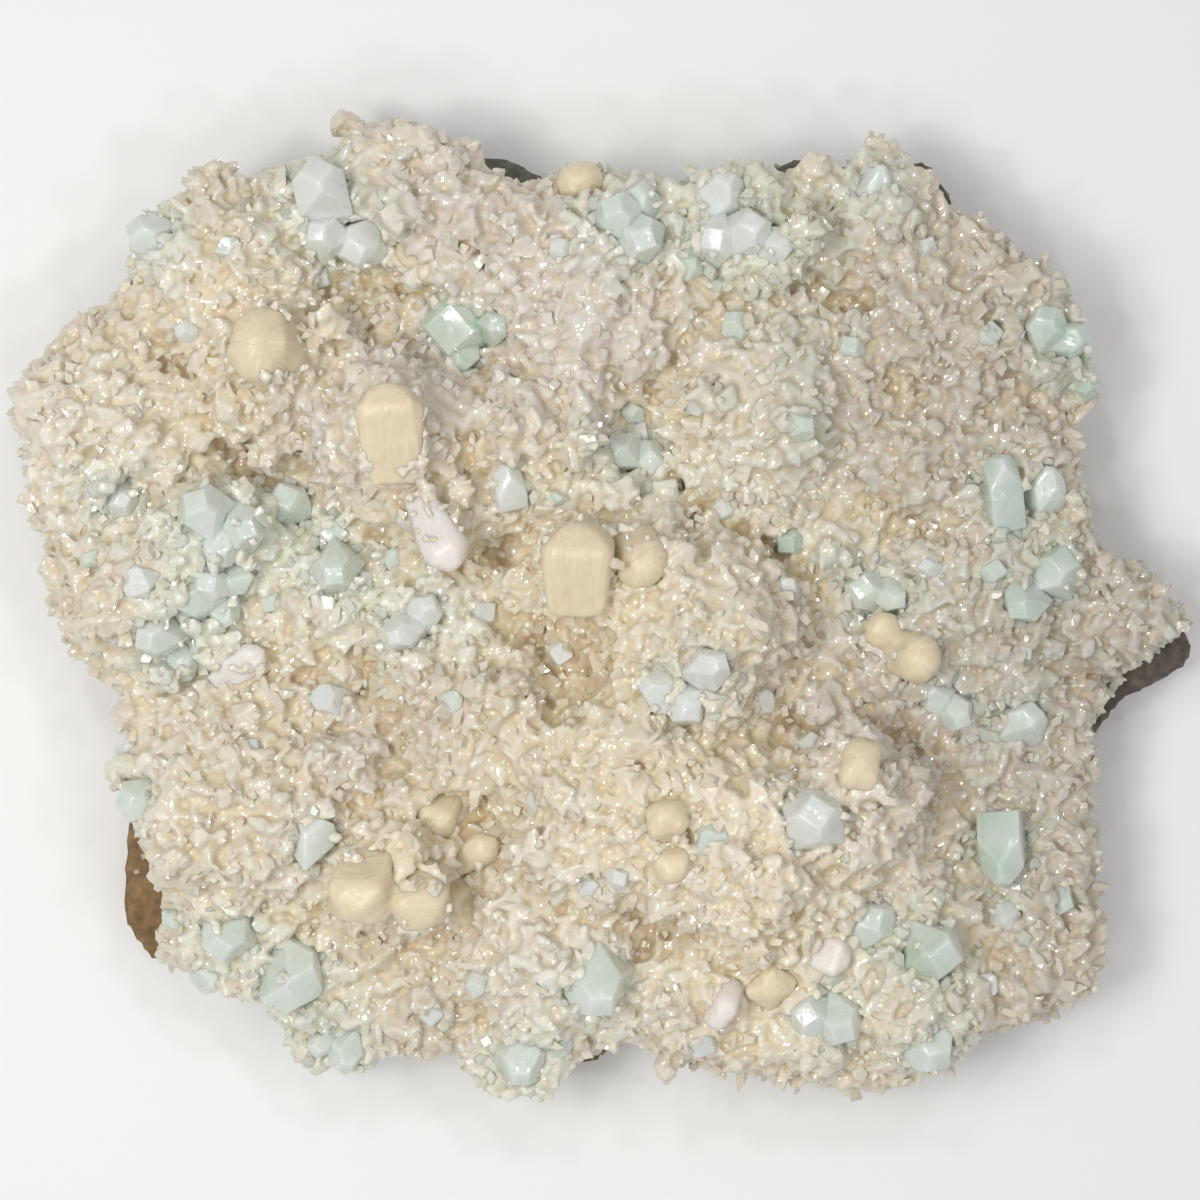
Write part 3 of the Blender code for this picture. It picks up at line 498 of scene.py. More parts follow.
def grain(rng):
    """A small blocky crystal with uneven faces."""
    tilt = rng.uniform(-0.5, 0.5, 2)
    faces = [((0, 0, -1), 0.35), ((tilt[0], tilt[1], 1), 0.6)]
    for turn in range(4):
        bearing = math.tau * (turn + rng.uniform(-0.12, 0.12)) / 4
        faces.append(((math.cos(bearing), math.sin(bearing), rng.uniform(-0.15, 0.3)), 0.46))
    bearing = rng.uniform(0, math.tau)
    faces.append(((math.cos(bearing), math.sin(bearing), rng.uniform(0.5, 1.2)), 0.56))
    return hull_arrays(corner_points(faces))


def block(rng):
    """An apophyllite crystal: a square prism whose corners are cut by steep cap faces."""
    steep = math.radians(60.5)
    across = math.sin(steep) / math.sqrt(2)
    faces = [((0, 0, -1), 0.5), ((0, 0, 1), rng.uniform(0.5, 0.75))]
    faces += [((side, 0, 0), 0.5) for side in (1, -1)] + [((0, side, 0), 0.5) for side in (1, -1)]
    apex = rng.uniform(0.85, 1.4) * math.cos(steep)
    faces += [((across * i, across * j, math.cos(steep)), apex) for i in (1, -1) for j in (1, -1)]
    return hull_arrays(corner_points(faces))


def turns_along(direction, spin):
    """Rotation matrices whose third axis is the direction, spun about it."""
    up = unit(direction)
    helper = np.where(np.abs(up[:, 2:]) < 0.9, [[0.0, 0.0, 1.0]], [[1.0, 0.0, 0.0]])
    first = unit(np.cross(helper, up))
    second = np.cross(up, first)
    c, s = np.cos(spin)[:, None], np.sin(spin)[:, None]
    return np.stack([first * c + second * s, second * c - first * s, up], axis=2)


def crystal_skin(shapes, growth, sizes, colours, lean, rng):
    """Many crystals: each is one of the shapes, turned along its place's normal."""
    count = len(growth.place)
    kind = rng.integers(len(shapes), size=count)
    direction = growth.normal + rng.normal(0, lean, (count, 3))
    turn = turns_along(direction, rng.uniform(0, math.tau, count))
    root = growth.place - growth.normal * sizes[:, 2:] * SUNK
    parts = []
    for k, (corners, faces) in enumerate(shapes):
        chosen = np.flatnonzero(kind == k)
        scaled = corners[None] * sizes[chosen, None, :]
        placed = np.einsum("nij,nvj->nvi", turn[chosen], scaled) + root[chosen, None, :]
        offsets = len(corners) * np.arange(len(chosen))[:, None, None]
        tints = np.repeat(colours[chosen], len(corners), axis=0)
        soft = np.repeat(growth.normal[chosen], len(corners), axis=0)
        parts.append(Skin(placed.reshape(-1, 3), (faces[None] + offsets).reshape(-1, 3), tints, soft))
    return joined(parts)


def joined(parts):
    """Several skins as one."""
    starts = np.cumsum([0] + [len(part.verts) for part in parts[:-1]])
    tris = [part.tris + start for part, start in zip(parts, starts)]
    return Skin(
        np.concatenate([part.verts for part in parts]),
        np.concatenate(tris),
        np.concatenate([part.tints for part in parts]),
        np.concatenate([part.soft for part in parts]),
    )


def dressed(name, skin, material, nodes=()):
    mesh = triangle_mesh(name, skin.verts, skin.tris)
    paint(mesh, skin.tints)
    keep_vectors(mesh, "soft", skin.soft)
    return new_piece(name, mesh, material, nodes)


# Where crystals grow

def sampled(ground, count, rng, weight):
    """Random places on a surface, more where the weight is larger."""
    corner = ground.verts[ground.tris]
    across = np.cross(corner[:, 1] - corner[:, 0], corner[:, 2] - corner[:, 0])
    area = 0.5 * np.linalg.norm(across, axis=1)
    chance = area * weight
    chosen = rng.choice(len(area), count, p=chance / chance.sum())
    u, v = rng.random(count), rng.random(count)
    over = u + v > 1
    u[over], v[over] = 1 - u[over], 1 - v[over]
    share = np.stack([1 - u - v, u, v], axis=1)[:, :, None]
    tri = ground.tris[chosen]
    place = (ground.verts[tri] * share).sum(axis=1)
    normal = unit((ground.normals[tri] * share).sum(axis=1))
    recess = (ground.recess[tri] * share[:, :, 0]).sum(axis=1)
    level = (ground.level[tri] * share[:, :, 0]).sum(axis=1)
    return Growth(place, normal, recess, level)


def kept(growth, chosen):
    return Growth(*(field[chosen] for field in growth))


def spaced(growth, spacing):
    """Drops the places that lie closer than the spacing to one kept before."""
    cells = {}
    chosen = []
    keys = np.floor(growth.place / spacing).astype(int)
    around = [(i, j, k) for i in (-1, 0, 1) for j in (-1, 0, 1) for k in (-1, 0, 1)]
    for index, (key, place) in enumerate(zip(keys.tolist(), growth.place)):
        near = [n for i, j, k in around for n in cells.get((key[0] + i, key[1] + j, key[2] + k), ())]
        if near and (((growth.place[near] - place) ** 2).sum(axis=1) < spacing**2).any():
            continue
        cells.setdefault(tuple(key), []).append(index)
        chosen.append(index)
    return kept(growth, chosen)


def gaps_to(points, tree):
    """How far each point lies outside the tree's solids; less than zero inside them."""
    gaps = []
    for place in points:
        near, normal, _, gap = tree.find_nearest(Vector(place))
        gaps.append(gap if (Vector(place) - near).dot(normal) > 0 else -gap)
    return np.array(gaps)


def radiating(sites, count, spread, sink, rng):
    """Growth directions that fan out from one point under each site."""
    normal = np.repeat(sites.normal, count, axis=0)
    total = len(normal)
    frames = turns_along(normal, rng.uniform(0, math.tau, total))
    tilt = spread * np.sqrt(rng.uniform(0.02, 1, total))
    direction = frames[:, :, 0] * np.sin(tilt)[:, None] + normal * np.cos(tilt)[:, None]
    place = np.repeat(sites.place, count, axis=0) - normal * sink
    return Growth(place, direction, np.repeat(sites.recess, count), np.repeat(sites.level, count))


# Materials

def new_material(name):
    material = bpy.data.materials.new(name)
    material.use_nodes = True
    nodes = material.node_tree.nodes
    return material, nodes, material.node_tree.links, nodes["Principled BSDF"]


def noise_node(nodes, links, scale, detail=3.0, vector=None):
    texture = nodes.new("ShaderNodeTexNoise")
    texture.inputs["Scale"].default_value = scale
    texture.inputs["Detail"].default_value = detail
    if vector is None:
        vector = nodes.new("ShaderNodeTexCoord").outputs["Object"]
    links.new(vector, texture.inputs["Vector"])
    return texture.outputs["Fac"]


def ranged(nodes, links, value, low, high):
    """A noise value mapped to low..high."""
    node = nodes.new("ShaderNodeMapRange")
    node.inputs["From Min"].default_value = 0.3
    node.inputs["From Max"].default_value = 0.7
    node.inputs["To Min"].default_value = low
    node.inputs["To Max"].default_value = high
    links.new(value, node.inputs["Value"])
    return node.outputs["Result"]


def vector_math(nodes, links, operation, first, second):
    node = nodes.new("ShaderNodeVectorMath")
    node.operation = operation
    links.new(first, node.inputs[0])
    if isinstance(second, (tuple, list)):
        node.inputs[1].default_value = second
    elif isinstance(second, float):
        node.inputs["Scale"].default_value = second
    elif second is not None:
        links.new(second, node.inputs["Scale" if operation == "SCALE" else 1])
    return node.outputs["Vector"]


def tinted(nodes, links, shader, strength):
    """Drives the base colour by the mesh's own colours, made lighter or darker by a value."""
    tint = nodes.new("ShaderNodeVertexColor")
    tint.layer_name = "tint"
    mixed = vector_math(nodes, links, "SCALE", tint.outputs["Color"], strength)
    links.new(mixed, shader.inputs["Base Color"])


def bump(nodes, links, height, strength, distance):
    node = nodes.new("ShaderNodeBump")
    node.inputs["Strength"].default_value = strength
    node.inputs["Distance"].default_value = distance
    links.new(height, node.inputs["Height"])
    return node.outputs["Normal"]


def softened(nodes, links, ground, rounded, faceted):
    """A normal shared between the ground, the rounded crystal and its flat face, as wax is lit."""
    kept_soft = nodes.new("ShaderNodeAttribute")
    kept_soft.attribute_name = "soft"
    turned = nodes.new("ShaderNodeVectorTransform")
    turned.vector_type = "NORMAL"
    turned.convert_from = "OBJECT"
    turned.convert_to = "WORLD"
    links.new(kept_soft.outputs["Vector"], turned.inputs["Vector"])
    face = nodes.new("ShaderNodeNewGeometry")
    total = vector_math(nodes, links, "SCALE", turned.outputs["Vector"], ground)
    for output, share in (("Normal", rounded), ("True Normal", faceted)):
        part = vector_math(nodes, links, "SCALE", face.outputs[output], share)
        total = vector_math(nodes, links, "ADD", total, part)
    return vector_math(nodes, links, "NORMALIZE", total, None)


def coated(shader, weight, roughness):
    """A thin gloss over the shader."""
    shader.inputs["Coat Weight"].default_value = weight
    shader.inputs["Coat Roughness"].default_value = roughness
    shader.inputs["Coat IOR"].default_value = GLOSS_IOR


def sugar_tilt(nodes, links, size):
    """A vector that is the same all over each tiny cell, and points another way in the next."""
    cells = nodes.new("ShaderNodeTexVoronoi")
    cells.inputs["Scale"].default_value = 1 / size
    links.new(nodes.new("ShaderNodeTexCoord").outputs["Object"], cells.inputs["Vector"])
    return vector_math(nodes, links, "SUBTRACT", cells.outputs["Color"], (0.5, 0.5, 0.5))


def sugared(nodes, links, normal, cells, tilt):
    """Breaks the surface into tiny flat faces, each tilted its own way."""
    tilted = vector_math(nodes, links, "SCALE", cells, tilt)
    total = vector_math(nodes, links, "ADD", normal, tilted)
    return vector_math(nodes, links, "NORMALIZE", total, None)


def waxy(shader, weight, radius, scale):
    shader.inputs["Subsurface Weight"].default_value = weight
    shader.inputs["Subsurface Radius"].default_value = radius
    shader.inputs["Subsurface Scale"].default_value = scale


def carpet_material(name, shares, tilt):
    """Small stilbite crystals: cream and waxy inside, with sparkling faces."""
    material, nodes, links, shader = new_material(name)
    tint = nodes.new("ShaderNodeVertexColor")
    tint.layer_name = "tint"
    cells = sugar_tilt(nodes, links, 1.5 * MM)
    speckle = vector_math(nodes, links, "SCALE", cells, 0.045)
    speckled = vector_math(nodes, links, "ADD", tint.outputs["Color"], speckle)
    links.new(speckled, shader.inputs["Base Color"])
    shader.inputs["Roughness"].default_value = 0.5
    shader.inputs["IOR"].default_value = STILBITE_IOR
    inner = softened(nodes, links, *shares)
    links.new(sugared(nodes, links, inner, cells, tilt), shader.inputs["Normal"])
    coated(shader, 0.85, 0.05)
    face = nodes.new("ShaderNodeNewGeometry")
    gloss = sugared(nodes, links, face.outputs["True Normal"], cells, 0.5)
    links.new(gloss, shader.inputs["Coat Normal"])
    return material


def sheaf_material(name, lines, smoothness):
    """Large stilbite crystals: pearly, with fine lines along their growth."""
    material, nodes, links, shader = new_material(name)
    fibre = nodes.new("ShaderNodeAttribute")
    fibre.attribute_name = "fibre"
    along = noise_node(nodes, links, 1.0, 3.0, fibre.outputs["Vector"])
    tinted(nodes, links, shader, ranged(nodes, links, along, 0.94, 1.0))
    shader.inputs["Roughness"].default_value = smoothness
    shader.inputs["IOR"].default_value = STILBITE_IOR
    waxy(shader, 1.0, (1.0, 0.9, 0.75), 4.0 * MM)
    ridges = bump(nodes, links, along, lines, 0.25 * MM)
    cells = sugar_tilt(nodes, links, 1.3 * MM)
    links.new(sugared(nodes, links, ridges, cells, 0.1), shader.inputs["Normal"])
    return material


def apophyllite_material():
    """Apophyllite: glass that absorbs a little red, clouded by white veils."""
    material, nodes, links, shader = new_material("apophyllite")
    tinted(nodes, links, shader, ranged(nodes, links, noise_node(nodes, links, 160, 1.0), 0.96, 1.0))
    veil = noise_node(nodes, links, 260, 1.0)
    links.new(ranged(nodes, links, veil, 0.08, 0.35), shader.inputs["Roughness"])
    shader.inputs["IOR"].default_value = APOPHYLLITE_IOR
    shader.inputs["Transmission Weight"].default_value = APOPHYLLITE_CLEAR
    waxy(shader, 1.0, (1.0, 1.0, 1.0), 2.5 * MM)
    rough = bump(nodes, links, noise_node(nodes, links, 420, 2.0), 0.35, 0.4 * MM)
    cells = sugar_tilt(nodes, links, 2.2 * MM)
    links.new(sugared(nodes, links, rough, cells, 0.16), shader.inputs["Normal"])
    coated(shader, 0.5, 0.05)
    absorb = nodes.new("ShaderNodeVolumeAbsorption")
    absorb.inputs["Color"].default_value = ABSORPTION_COLOUR
    absorb.inputs["Density"].default_value = ABSORPTION_DENSITY
    links.new(absorb.outputs["Volume"], nodes["Material Output"].inputs["Volume"])
    return material


def basalt_material():
    """Basalt: dull, blotched light and dark, with a coarse broken surface."""
    material, nodes, links, shader = new_material("basalt")
    coarse = noise_node(nodes, links, 240, 8.0)
    tinted(nodes, links, shader, ranged(nodes, links, coarse, 0.45, 1.15))
    links.new(ranged(nodes, links, coarse, 0.7, 0.95), shader.inputs["Roughness"])
    rough = bump(nodes, links, noise_node(nodes, links, 800, 8.0), 0.7, 0.6 * MM)
    cells = sugar_tilt(nodes, links, 0.9 * MM)
    links.new(sugared(nodes, links, rough, cells, 0.35), shader.inputs["Normal"])
    return material


# The carpet

def ground_form(tree):
    """The carpet's ground: the crust at an even grain, swollen into rosettes and knobs."""
    mesh = remeshed(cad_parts["stilbite_druse"].data, GROUND_VOXEL)
    verts, tris = mesh_arrays(mesh)
    normals = vertex_normals(smoothed(verts, tris, SLOPE_ROUNDS), tris)
    level = np.clip(vertex_normals(smoothed(verts, tris, LEVEL_ROUNDS), tris)[:, 2] / 0.8, 0, 1)
    rim = (1 - level)[:, None]
    verts = verts * (1 - rim) + smoothed(verts, tris, RIM_ROUNDS) * rim
    rise = sum(height * cell_swell(verts, width) for width, height in SWELLS) * (0.35 + 0.65 * level)
    rise -= INSET + SIDE_INSET * (1 - level)
    open_air = np.clip((normals[:, 2] + 0.75) / 0.4, 0, 1)
    seated = np.clip(gaps_to(verts, tree) / SEAT_REACH, 0, 1)
    verts = verts + normals * (rise * open_air * seated)[:, None]
    even = smoothed(verts, tris, RECESS_ROUNDS)
    recess = ((even - verts) * vertex_normals(even, tris)).sum(axis=1) * seated
    return Ground(verts, tris, vertex_normals(verts, tris), recess, level)


def painted_hollow_shade(colour, recess, most):
    """The colours with painted shade in the hollows, first ochre and then brown."""
    depth = np.clip(recess / RECESS_DEPTH, 0, 1)[:, None]
    colour = colour * (1 - most * np.clip(depth * 2, 0, 1)) + HOLLOW_SHADE_OCHRE * most * np.clip(depth * 2, 0, 1)
    deep = np.clip(depth * 2 - 1, 0, 1) * most
    return colour * (1 - deep) + DEEP_SHADE_BROWN * deep


def grown_colours(growth, rng, spread):
    """Colours for small crystals: the patch colour, with painted shade in the hollows, and varied one by
    one.
    """
    colour = painted_hollow_shade(plan_colour(growth.place), growth.recess, 0.45)
    vary = 1 + rng.normal(0, spread, (len(colour), 1))
    warm = 1 + rng.normal(0, spread * 0.5, (len(colour), 1)) * np.array([[0.3, 0.0, -1.0]])
    return np.clip(colour * vary * warm, 0, 0.97)


def crystal_sizes(growth, sowing, rng):
    """Thickness, width and length: coarse here and fine there, and smaller toward the rim."""
    count = len(growth.place)
    low, high = sowing.length
    length = low + (high - low) * rng.beta(1.5, 3.2, count)
    length *= 1 + 0.35 * wave(growth.place, 26 * MM, 9.2)
    length *= 0.6 + 0.4 * growth.level
    width = length * rng.uniform(*sowing.slim, count)
    thick = width * rng.uniform(0.6, 1.0, count)
    return np.stack([thick, width, length], axis=1)


def facing_up(ground, margin):
    """How far each triangle faces up, from 0 to 1; the margin lets in those that face sideways."""
    return np.clip(ground.normals[ground.tris].mean(axis=1)[:, 2] + margin, 0, 1)


def sprinkled(ground, sowing, clearance, tree, rng, weight):
    """Spaced places on a surface that stay clear of the large crystals."""
    growth = spaced(sampled(ground, sowing.tries, rng, weight), sowing.spacing)
    return kept(growth, gaps_to(growth.place, tree) > clearance)


def grown(shapes, growth, sowing, rng):
    """Small crystals in the colours of the carpet."""
    sizes = crystal_sizes(growth, sowing, rng)
    colours = grown_colours(growth, rng, sowing.vary)
    return crystal_skin(shapes, growth, sizes, colours, sowing.lean, rng)


def quarters(middle):
    """Four parts of the plan with equally many triangles in each."""
    left = middle[:, 0] < np.median(middle[:, 0])
    for side, name in ((left, "left"), (~left, "right")):
        cut = np.median(middle[side, 1])
        yield f"front_{name}", side & (middle[:, 1] < cut)
        yield f"back_{name}", side & (middle[:, 1] >= cut)


def nearest_tints(verts, source):
    tree = tree_of(source.verts, source.tris)
    nearest = [tree.find_nearest(Vector(place))[2] for place in verts]
    return source.tints[source.tris[nearest, 0]]


def crease_shade_and_crest_light(tints, verts, tris, normals):
    """The colours with painted amber shade in the creases between crystals, and painted light on the
    crests.
    """
    crease = ((smoothed(verts, tris, CREASE_ROUNDS) - verts) * normals).sum(axis=1)
    depth = np.clip(crease / CREASE_DEPTH, -1, 1)[:, None]
    tints = tints * (1 - np.clip(depth, 0, 1) * (1 - CREASE_SHADE_AMBER))
    return tints + (1 - tints) * 0.15 * np.clip(-depth, 0, 1)


def fuse_carpet(parts, rock_tree, material):
    """The ground and its crystals as one soft-edged skin, in four pieces that meet edge to edge."""
    source = joined(parts)
    mesh = remeshed(triangle_mesh("carpet", source.verts, source.tris), CARPET_VOXEL)
    verts, tris = mesh_arrays(mesh)
    normals = vertex_normals(verts, tris)
    # Painted shade in the creases and painted light on the crests
    tints = crease_shade_and_crest_light(nearest_tints(verts, source), verts, tris, normals)
    tints = tints * (1 + 0.05 * wave(verts, 4 * MM, 6.6))[:, None]
    on_rock = np.zeros(len(verts), bool)
    down = np.flatnonzero(normals[:, 2] < -0.2)
    on_rock[down] = np.abs(gaps_to(verts[down], rock_tree)) < HIDDEN_GAP
    tris = tris[~on_rock[tris].all(axis=1)]
    for quarter, chosen in quarters(verts[tris].mean(axis=1)):
        used, faces = np.unique(tris[chosen], return_inverse=True)
        skin = Skin(verts[used], faces.reshape(-1, 3), tints[used], normals[used])
        piece = dressed(f"stilbite_carpet_{quarter}", skin, material, ["stilbite_druse"])
        piece.data.shade_smooth()
    return Ground(verts, tris, normals, np.zeros(len(verts)), np.ones(len(verts)))


def grow_carpet(ground, tree, rng):
    """Rosettes of blades, then crystals and grains between them."""
    upward = facing_up(ground, 0.9)
    level = ground.level[ground.tris].mean(axis=1)
    recess = ground.recess[ground.tris].mean(axis=1)
    proud = np.clip(0.6 - recess / (4 * MM), 0.02, 1) * (level > 0.85)
    tablets = [tablet(rng) for _ in range(14)]
    grains = [grain(rng) for _ in range(14)]

    sites = sprinkled(ground, ROSETTES, 3.0 * MM, tree, rng, upward * proud)
    blades = radiating(sites, ROSETTE_BLADES, ROSETTE_SPREAD, ROSETTE_ROOT, rng)
    rosettes = grown(tablets, blades, ROSETTES, rng)

    middle = sprinkled(ground, CRYSTALS, 0.3 * MM, tree, rng, upward)
    crystals = grown(tablets + grains, middle, CRYSTALS, rng)

    sugary = np.clip(0.6 + 0.8 * wave(ground.verts[ground.tris].mean(axis=1), 22 * MM, 2.2), 0.1, 1)
    fine = sprinkled(ground, GRAINS, 0.2 * MM, tree, rng, upward * sugary)
    return [rosettes, crystals, grown(grains, fine, GRAINS, rng)]


# The large crystals

def crystal_ground(prefix):
    """The large crystals of one kind as one surface; recess is the share of the way up each."""
    verts, tris, share, start = [], [], [], 0
    for name, obj in sorted(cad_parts.items()):
        if not name.startswith(prefix) or name == "stilbite_druse":
            continue
        corners, faces = mesh_arrays(obj.data)
        verts.append(corners)
        tris.append(faces + start)
        share.append((corners[:, 2] - corners[:, 2].min()) / np.ptp(corners[:, 2]))
        start += len(corners)
    verts, tris = np.concatenate(verts), np.concatenate(tris)
    normals = vertex_normals(verts, tris)
    return Ground(verts, tris, normals, np.concatenate(share), np.ones(len(verts)))


def nearest_tint(seen, default):
    px, py, colour = min(CRYSTAL_TINTS, key=lambda row: math.hypot(row[0] - seen[0], row[1] - seen[1]))
    return colour if math.hypot(px - seen[0], py - seen[1]) < TINT_REACH_PX else default


def node_tint(node, default):
    if node in SILKY_NODES:
        return SILK
    low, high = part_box(node)
    middle = np.array([[(a + b) / 2 for a, b in zip(low, high)]])
    return nearest_tint(plan_pixels(middle)[0], default)


def worn_block(node, material):
    """An apophyllite crystal with its edges worn round, in place of its plain solid."""
    form = bmesh.new()
    form.from_mesh(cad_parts[node].data)
    bmesh.ops.remove_doubles(form, verts=form.verts, dist=0.01 * MM)
    bmesh.ops.dissolve_limit(form, angle_limit=math.radians(1.0), verts=form.verts, edges=form.edges)
    mesh = bpy.data.meshes.new(node + "_crystal")
    form.to_mesh(mesh)
    form.free()
    worn = bpy.data.objects.new("worn", mesh)
    bpy.context.scene.collection.objects.link(worn)
    edge = worn.modifiers.new("edges", "BEVEL")
    edge.width = EDGE_WEAR
    edge.segments = 2
    edge.limit_method = "ANGLE"
    edge.angle_limit = math.radians(15)
    mesh = evaluated_mesh(worn)
    bpy.data.objects.remove(worn)
    mesh.name = node + "_crystal"
    verts = mesh_arrays(mesh)[0]
    cloud = np.clip(0.35 + 0.9 * wave(verts, 7 * MM, 1.3), 0, 0.8)[:, None]
    paint(mesh, node_tint(node, MINT) * (1 - cloud) + FROST * cloud)
    new_piece(node + "_crystal", mesh, material, [node])
    mesh.shade_smooth()
    mesh.set_sharp_from_angle(angle=math.radians(28))


def fibre_frame(node, verts):
    """Coordinates that change fast across a crystal's growth lines and slowly along them."""
    offset = verts - verts.mean(axis=0)
    if "dome" in node:
        flat = unit(offset[:, :2])
        return np.column_stack([flat * 9, np.linalg.norm(offset[:, :2], axis=1) / (7 * MM)])
    axes = np.linalg.svd(offset, full_matrices=False)[2]
    return (offset @ axes.T) / np.array([14 * MM, 0.8 * MM, 0.8 * MM])


def rounded_sheaf(node, material):
    """A large stilbite crystal, rounded as sheaves are, in place of its plain solid."""
    mesh = remeshed(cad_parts[node].data, SHEAF_VOXEL)
    verts, tris = mesh_arrays(mesh)
    verts = smoothed(verts, tris, SHEAF_ROUNDS)
    normals = vertex_normals(verts, tris)
    fibre = fibre_frame(node, verts)
    grooves = wave(fibre, 1.6, 2.1) * 0.35 * MM
    verts = verts + normals * (SHEAF_SWELL + grooves + 0.4 * MM * wave(verts, 6 * MM))[:, None]
    mesh = triangle_mesh(node + "_crystal", verts, tris)
    keep_vectors(mesh, "fibre", fibre)
    paint(mesh, np.tile(node_tint(node, PEACH), (len(verts), 1)))
    new_piece(node + "_crystal", mesh, material, [node])
    mesh.shade_smooth()


def dress_large_crystals(looks):
    for node in sorted(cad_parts):
        if node.startswith("apophyllite"):
            worn_block(node, looks["apophyllite"])
        elif node.startswith("stilbite") and node != "stilbite_druse":
            rounded_sheaf(node, looks["silk" if node in SILKY_NODES else "sheaf"])


def grow_points(carpet, tree, material, rng):
    """Crisp little crystals that stand out of the carpet."""
    growth = sprinkled(carpet, POINTS, 0.5 * MM, tree, rng, facing_up(carpet, 0.2))
    sizes = crystal_sizes(growth, POINTS, rng)
    colours = 0.8 * plan_colour(growth.place) + 0.2 * IVORY
    colours = colours * (1 + rng.normal(0, POINTS.vary, (len(colours), 1)))
    shapes = [grain(rng) for _ in range(12)]
    skin = crystal_skin(shapes, growth, sizes, colours, POINTS.lean, rng)
    dressed("stilbite_points", skin, material).data.shade_flat()


def crust_at_foot(surface, rng):
    """Small crystals that creep up the foot of the large ones."""
    share = surface.recess[surface.tris].mean(axis=1)
    middle = surface.verts[surface.tris].mean(axis=1)
    foot = np.clip(1.3 - share * 2.0 + 0.6 * wave(middle, 9 * MM, 8.0), 0.0, 1)
    growth = spaced(sampled(surface, FOOT_CRUST.tries, rng, foot), FOOT_CRUST.spacing)
    growth = kept(growth, growth.normal[:, 2] > -0.2)
    sizes = crystal_sizes(growth, FOOT_CRUST, rng)
    colours = 0.8 * plan_colour(growth.place) + 0.2 * IVORY
    shapes = [tablet(rng) for _ in range(6)] + [grain(rng) for _ in range(6)]
    return crystal_skin(shapes, growth, sizes, colours, FOOT_CRUST.lean, rng)


def grow_singles(ground, glass, rng):
    """Apophyllite crystals of middling size at their own places. Returns the shapes they take."""
    skin = tree_of(ground.verts, ground.tris)
    places, normals = [], []
    for single in SINGLES:
        place, normal = landing(skin, single.px, single.py)
        bearing = math.radians(single.toward)
        lean = Vector((math.cos(bearing), math.sin(bearing), 0)) * 0.5
        places.append(place)
        normals.append((normal + Vector((0, 0, 1)) + lean).normalized())
    growth = Growth(np.array(places), np.array(normals), np.zeros(len(places)), np.ones(len(places)))
    widths = np.array([single.width for single in SINGLES]) * MM
    sizes = widths[:, None] * rng.uniform([[0.7, 0.9, 0.9]], [[1.0, 1.0, 1.2]], (len(widths), 3))
    colours = np.array([single.colour for single in SINGLES])
    blocks = [block(rng) for _ in range(10)]
    skin = crystal_skin(blocks, growth, sizes, colours, 0.1, rng)
    dressed("apophyllite_singles", skin, glass).data.shade_flat()
    return blocks


def grow_satellites(ground, tree, blocks, glass, rng):
    """Smaller apophyllite crystals around the large ones."""
    sites = sampled(ground, SATELLITES.tries, rng, facing_up(ground, 0.4))
    around = spaced(sites, SATELLITES.spacing)
    gap = gaps_to(around.place, tree)
    around = kept(around, (gap > 0.3 * MM) & (gap < 5 * MM))
    sizes = crystal_sizes(around, SATELLITES, rng)
    colours = 0.5 * plan_colour(around.place) + 0.5 * MINT
    colours *= 1 + rng.normal(0, SATELLITES.vary, (len(colours), 1))
    skin = crystal_skin(blocks, around, sizes, colours, SATELLITES.lean, rng)
    dressed("apophyllite_satellites", skin, glass).data.shade_flat()


# The rock

def dress_rock(material):
    """The rock, chipped and pitted, with a flat back. Returns its surface and its mean colour."""
    mesh = remeshed(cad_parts["basalt_matrix"].data, ROCK_VOXEL)
    verts, tris = mesh_arrays(mesh)
    normals = vertex_normals(verts, tris)
    chips = 0.8 * MM + 1.2 * MM * wave(verts, 12 * MM) + 0.9 * MM * wave(verts, 5 * MM, 5.0)
    pits = -1.4 * MM * np.clip(cell_swell(verts, 9 * MM) - 0.45, 0, 1)
    on_back = verts[:, 2] < FLAT_BACK
    verts = verts + normals * ((chips + pits) * ~on_back)[:, None]
    verts[:, 2] = np.where(verts[:, 2] < FLAT_BACK, 0, verts[:, 2])
    ragged = 1 + 0.5 * wave(verts, 14 * MM, 6.1)
    colour = np.tile(0.5 * (ROCK_BROWN + ROCK_GREY), (len(verts), 1))
    colour = blended(colour, ROCK_PATCHES, plan_pixels(verts), ragged)
    mesh = triangle_mesh("basalt_rock", verts, tris)
    paint(mesh, colour)
    new_piece("basalt_rock", mesh, material, ["basalt_matrix"])
    mesh.shade_smooth()
    ledge = Ground(verts, tris, vertex_normals(verts, tris), np.zeros(len(verts)), np.ones(len(verts)))
    return ledge, colour.mean(axis=0)


def grow_on_rock(ledge, rock_colour, material, rng):
    """Grains of crystal on the upper parts of the rock."""
    middle = ledge.verts[ledge.tris].mean(axis=1)
    weight = facing_up(ledge, 0.3) * (middle[:, 2] > 6 * MM)
    weight = weight * np.clip(0.2 + wave(middle, 16 * MM, 4.4), 0, 1)
    growth = spaced(sampled(ledge, ROCK_GRAINS.tries, rng, weight), ROCK_GRAINS.spacing)
    sizes = crystal_sizes(growth, ROCK_GRAINS, rng)
    colours = 0.6 * plan_colour(growth.place) + 0.25 * rock_colour
    shapes = [grain(rng) for _ in range(6)]
    skin = crystal_skin(shapes, growth, sizes, colours, ROCK_GRAINS.lean, rng)
    dressed("stilbite_on_rock", skin, material)


# Stage, light and camera

def area_light(name, place, size, power, colour=(1, 1, 1)):
    light = bpy.data.lights.new(name, "AREA")
    light.size = size
    light.energy = power
    light.color = colour
    obj = bpy.data.objects.new(name, light)
    bpy.context.scene.collection.objects.link(obj)
    obj.location = place
    obj.rotation_euler = (-Vector(place)).to_track_quat("-Z", "Y").to_euler()


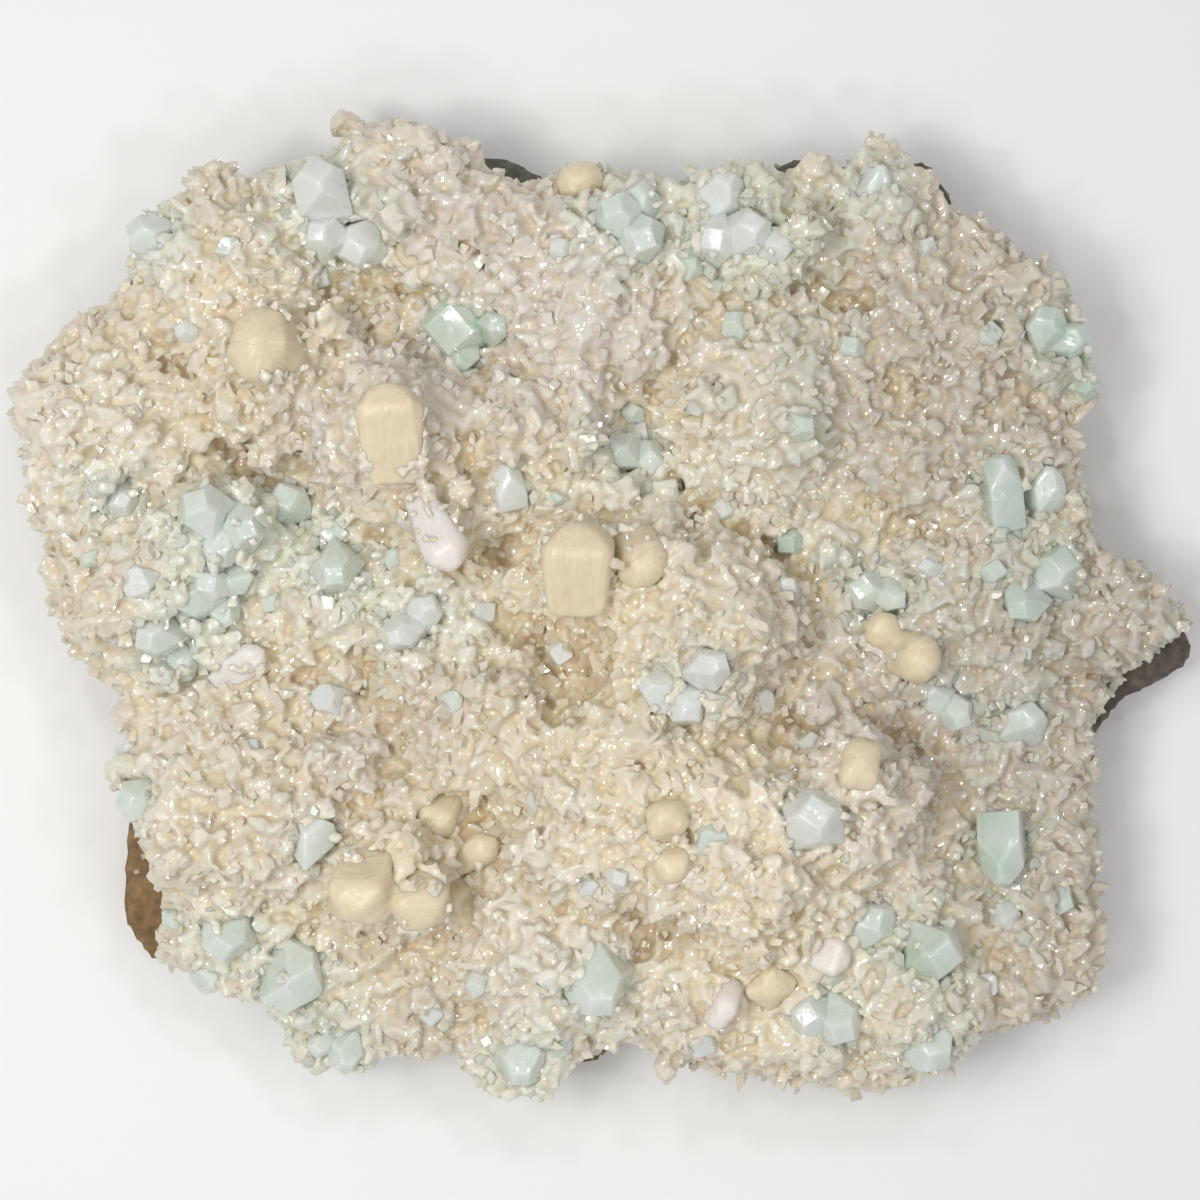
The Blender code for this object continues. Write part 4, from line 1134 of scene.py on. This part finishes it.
def light_stage():
    """Soft light from all over, a broad lamp at the left, and a ring of small lamps for the sparkle."""
    world = bpy.data.worlds.new("soft_light")
    bpy.context.scene.world = world
    world.use_nodes = True
    sky = world.node_tree.nodes["Background"]
    sky.inputs["Color"].default_value = SKY_COLOUR
    sky.inputs["Strength"].default_value = SKY_STRENGTH
    area_light("key", KEY_PLACE, KEY_SIZE, KEY_POWER, KEY_COLOUR)
    for number in range(RING_LAMPS):
        bearing = math.tau * (number + 0.4) / RING_LAMPS
        place = (RING_RADIUS * math.cos(bearing), RING_RADIUS * math.sin(bearing), RING_HEIGHT)
        area_light(f"lamp_{number}", place, RING_SIZE, RING_POWER)
    bpy.ops.mesh.primitive_plane_add(size=6, location=(0, 0, -0.2 * MM))
    floor = bpy.context.active_object
    floor.name = "floor"
    material, _, _, shader = new_material("floor")
    shader.inputs["Base Color"].default_value = (0.93, 0.93, 0.93, 1)
    shader.inputs["Roughness"].default_value = 0.9
    floor.data.materials.append(material)
    bpy.context.scene.view_settings.view_transform = "Standard"


def add_camera():
    camera = bpy.data.cameras.new("camera")
    camera.sensor_width = SENSOR_MM
    camera.lens = SENSOR_MM * FOCUS_PX / PICTURE_PX
    camera.clip_start = 0.01
    obj = bpy.data.objects.new("camera", camera)
    bpy.context.scene.collection.objects.link(obj)
    middle = PICTURE_PX / 2
    rim = (EYE_HEIGHT - RIM_HEIGHT) / FOCUS_PX
    obj.location = ((middle - PLAN_CENTRE_PX[0]) * rim, (PLAN_CENTRE_PX[1] - middle) * rim, EYE_HEIGHT)
    bpy.context.scene.camera = obj


def main():
    rng = np.random.default_rng(SEED)
    add_camera()
    light_stage()
    looks = {
        "carpet": carpet_material("stilbite", (0.7, 0.2, 0.1), 0.32),
        "points": carpet_material("stilbite_points", (0.35, 0.0, 0.65), 0.1),
        "sheaf": sheaf_material("stilbite_sheaf", 0.7, 0.35),
        "silk": sheaf_material("stilbite_silk", 0.9, 0.28),
        "apophyllite": apophyllite_material(),
        "basalt": basalt_material(),
    }
    green, peach = crystal_ground("apophyllite"), crystal_ground("stilbite")
    green_tree = tree_of(green.verts, green.tris)
    solids = np.concatenate([green.verts, peach.verts])
    tree = tree_of(solids, np.concatenate([green.tris, peach.tris + len(green.verts)]))
    rock_tree = tree_of(*mesh_arrays(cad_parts["basalt_matrix"].data))

    ground = ground_form(tree)
    # Painted shade in the ground's hollows
    tints = painted_hollow_shade(plan_colour(ground.verts), ground.recess, 0.6)
    parts = [Skin(ground.verts, ground.tris, tints, ground.normals)]
    parts += grow_carpet(ground, tree, rng)
    parts += [crust_at_foot(green, rng), crust_at_foot(peach, rng)]
    carpet = fuse_carpet(parts, rock_tree, looks["carpet"])
    grow_points(carpet, tree, looks["points"], rng)
    blocks = grow_singles(ground, looks["apophyllite"], rng)
    grow_satellites(ground, green_tree, blocks, looks["apophyllite"], rng)
    dress_large_crystals(looks)
    ledge, rock_colour = dress_rock(looks["basalt"])
    grow_on_rock(ledge, rock_colour, looks["carpet"], rng)


main()
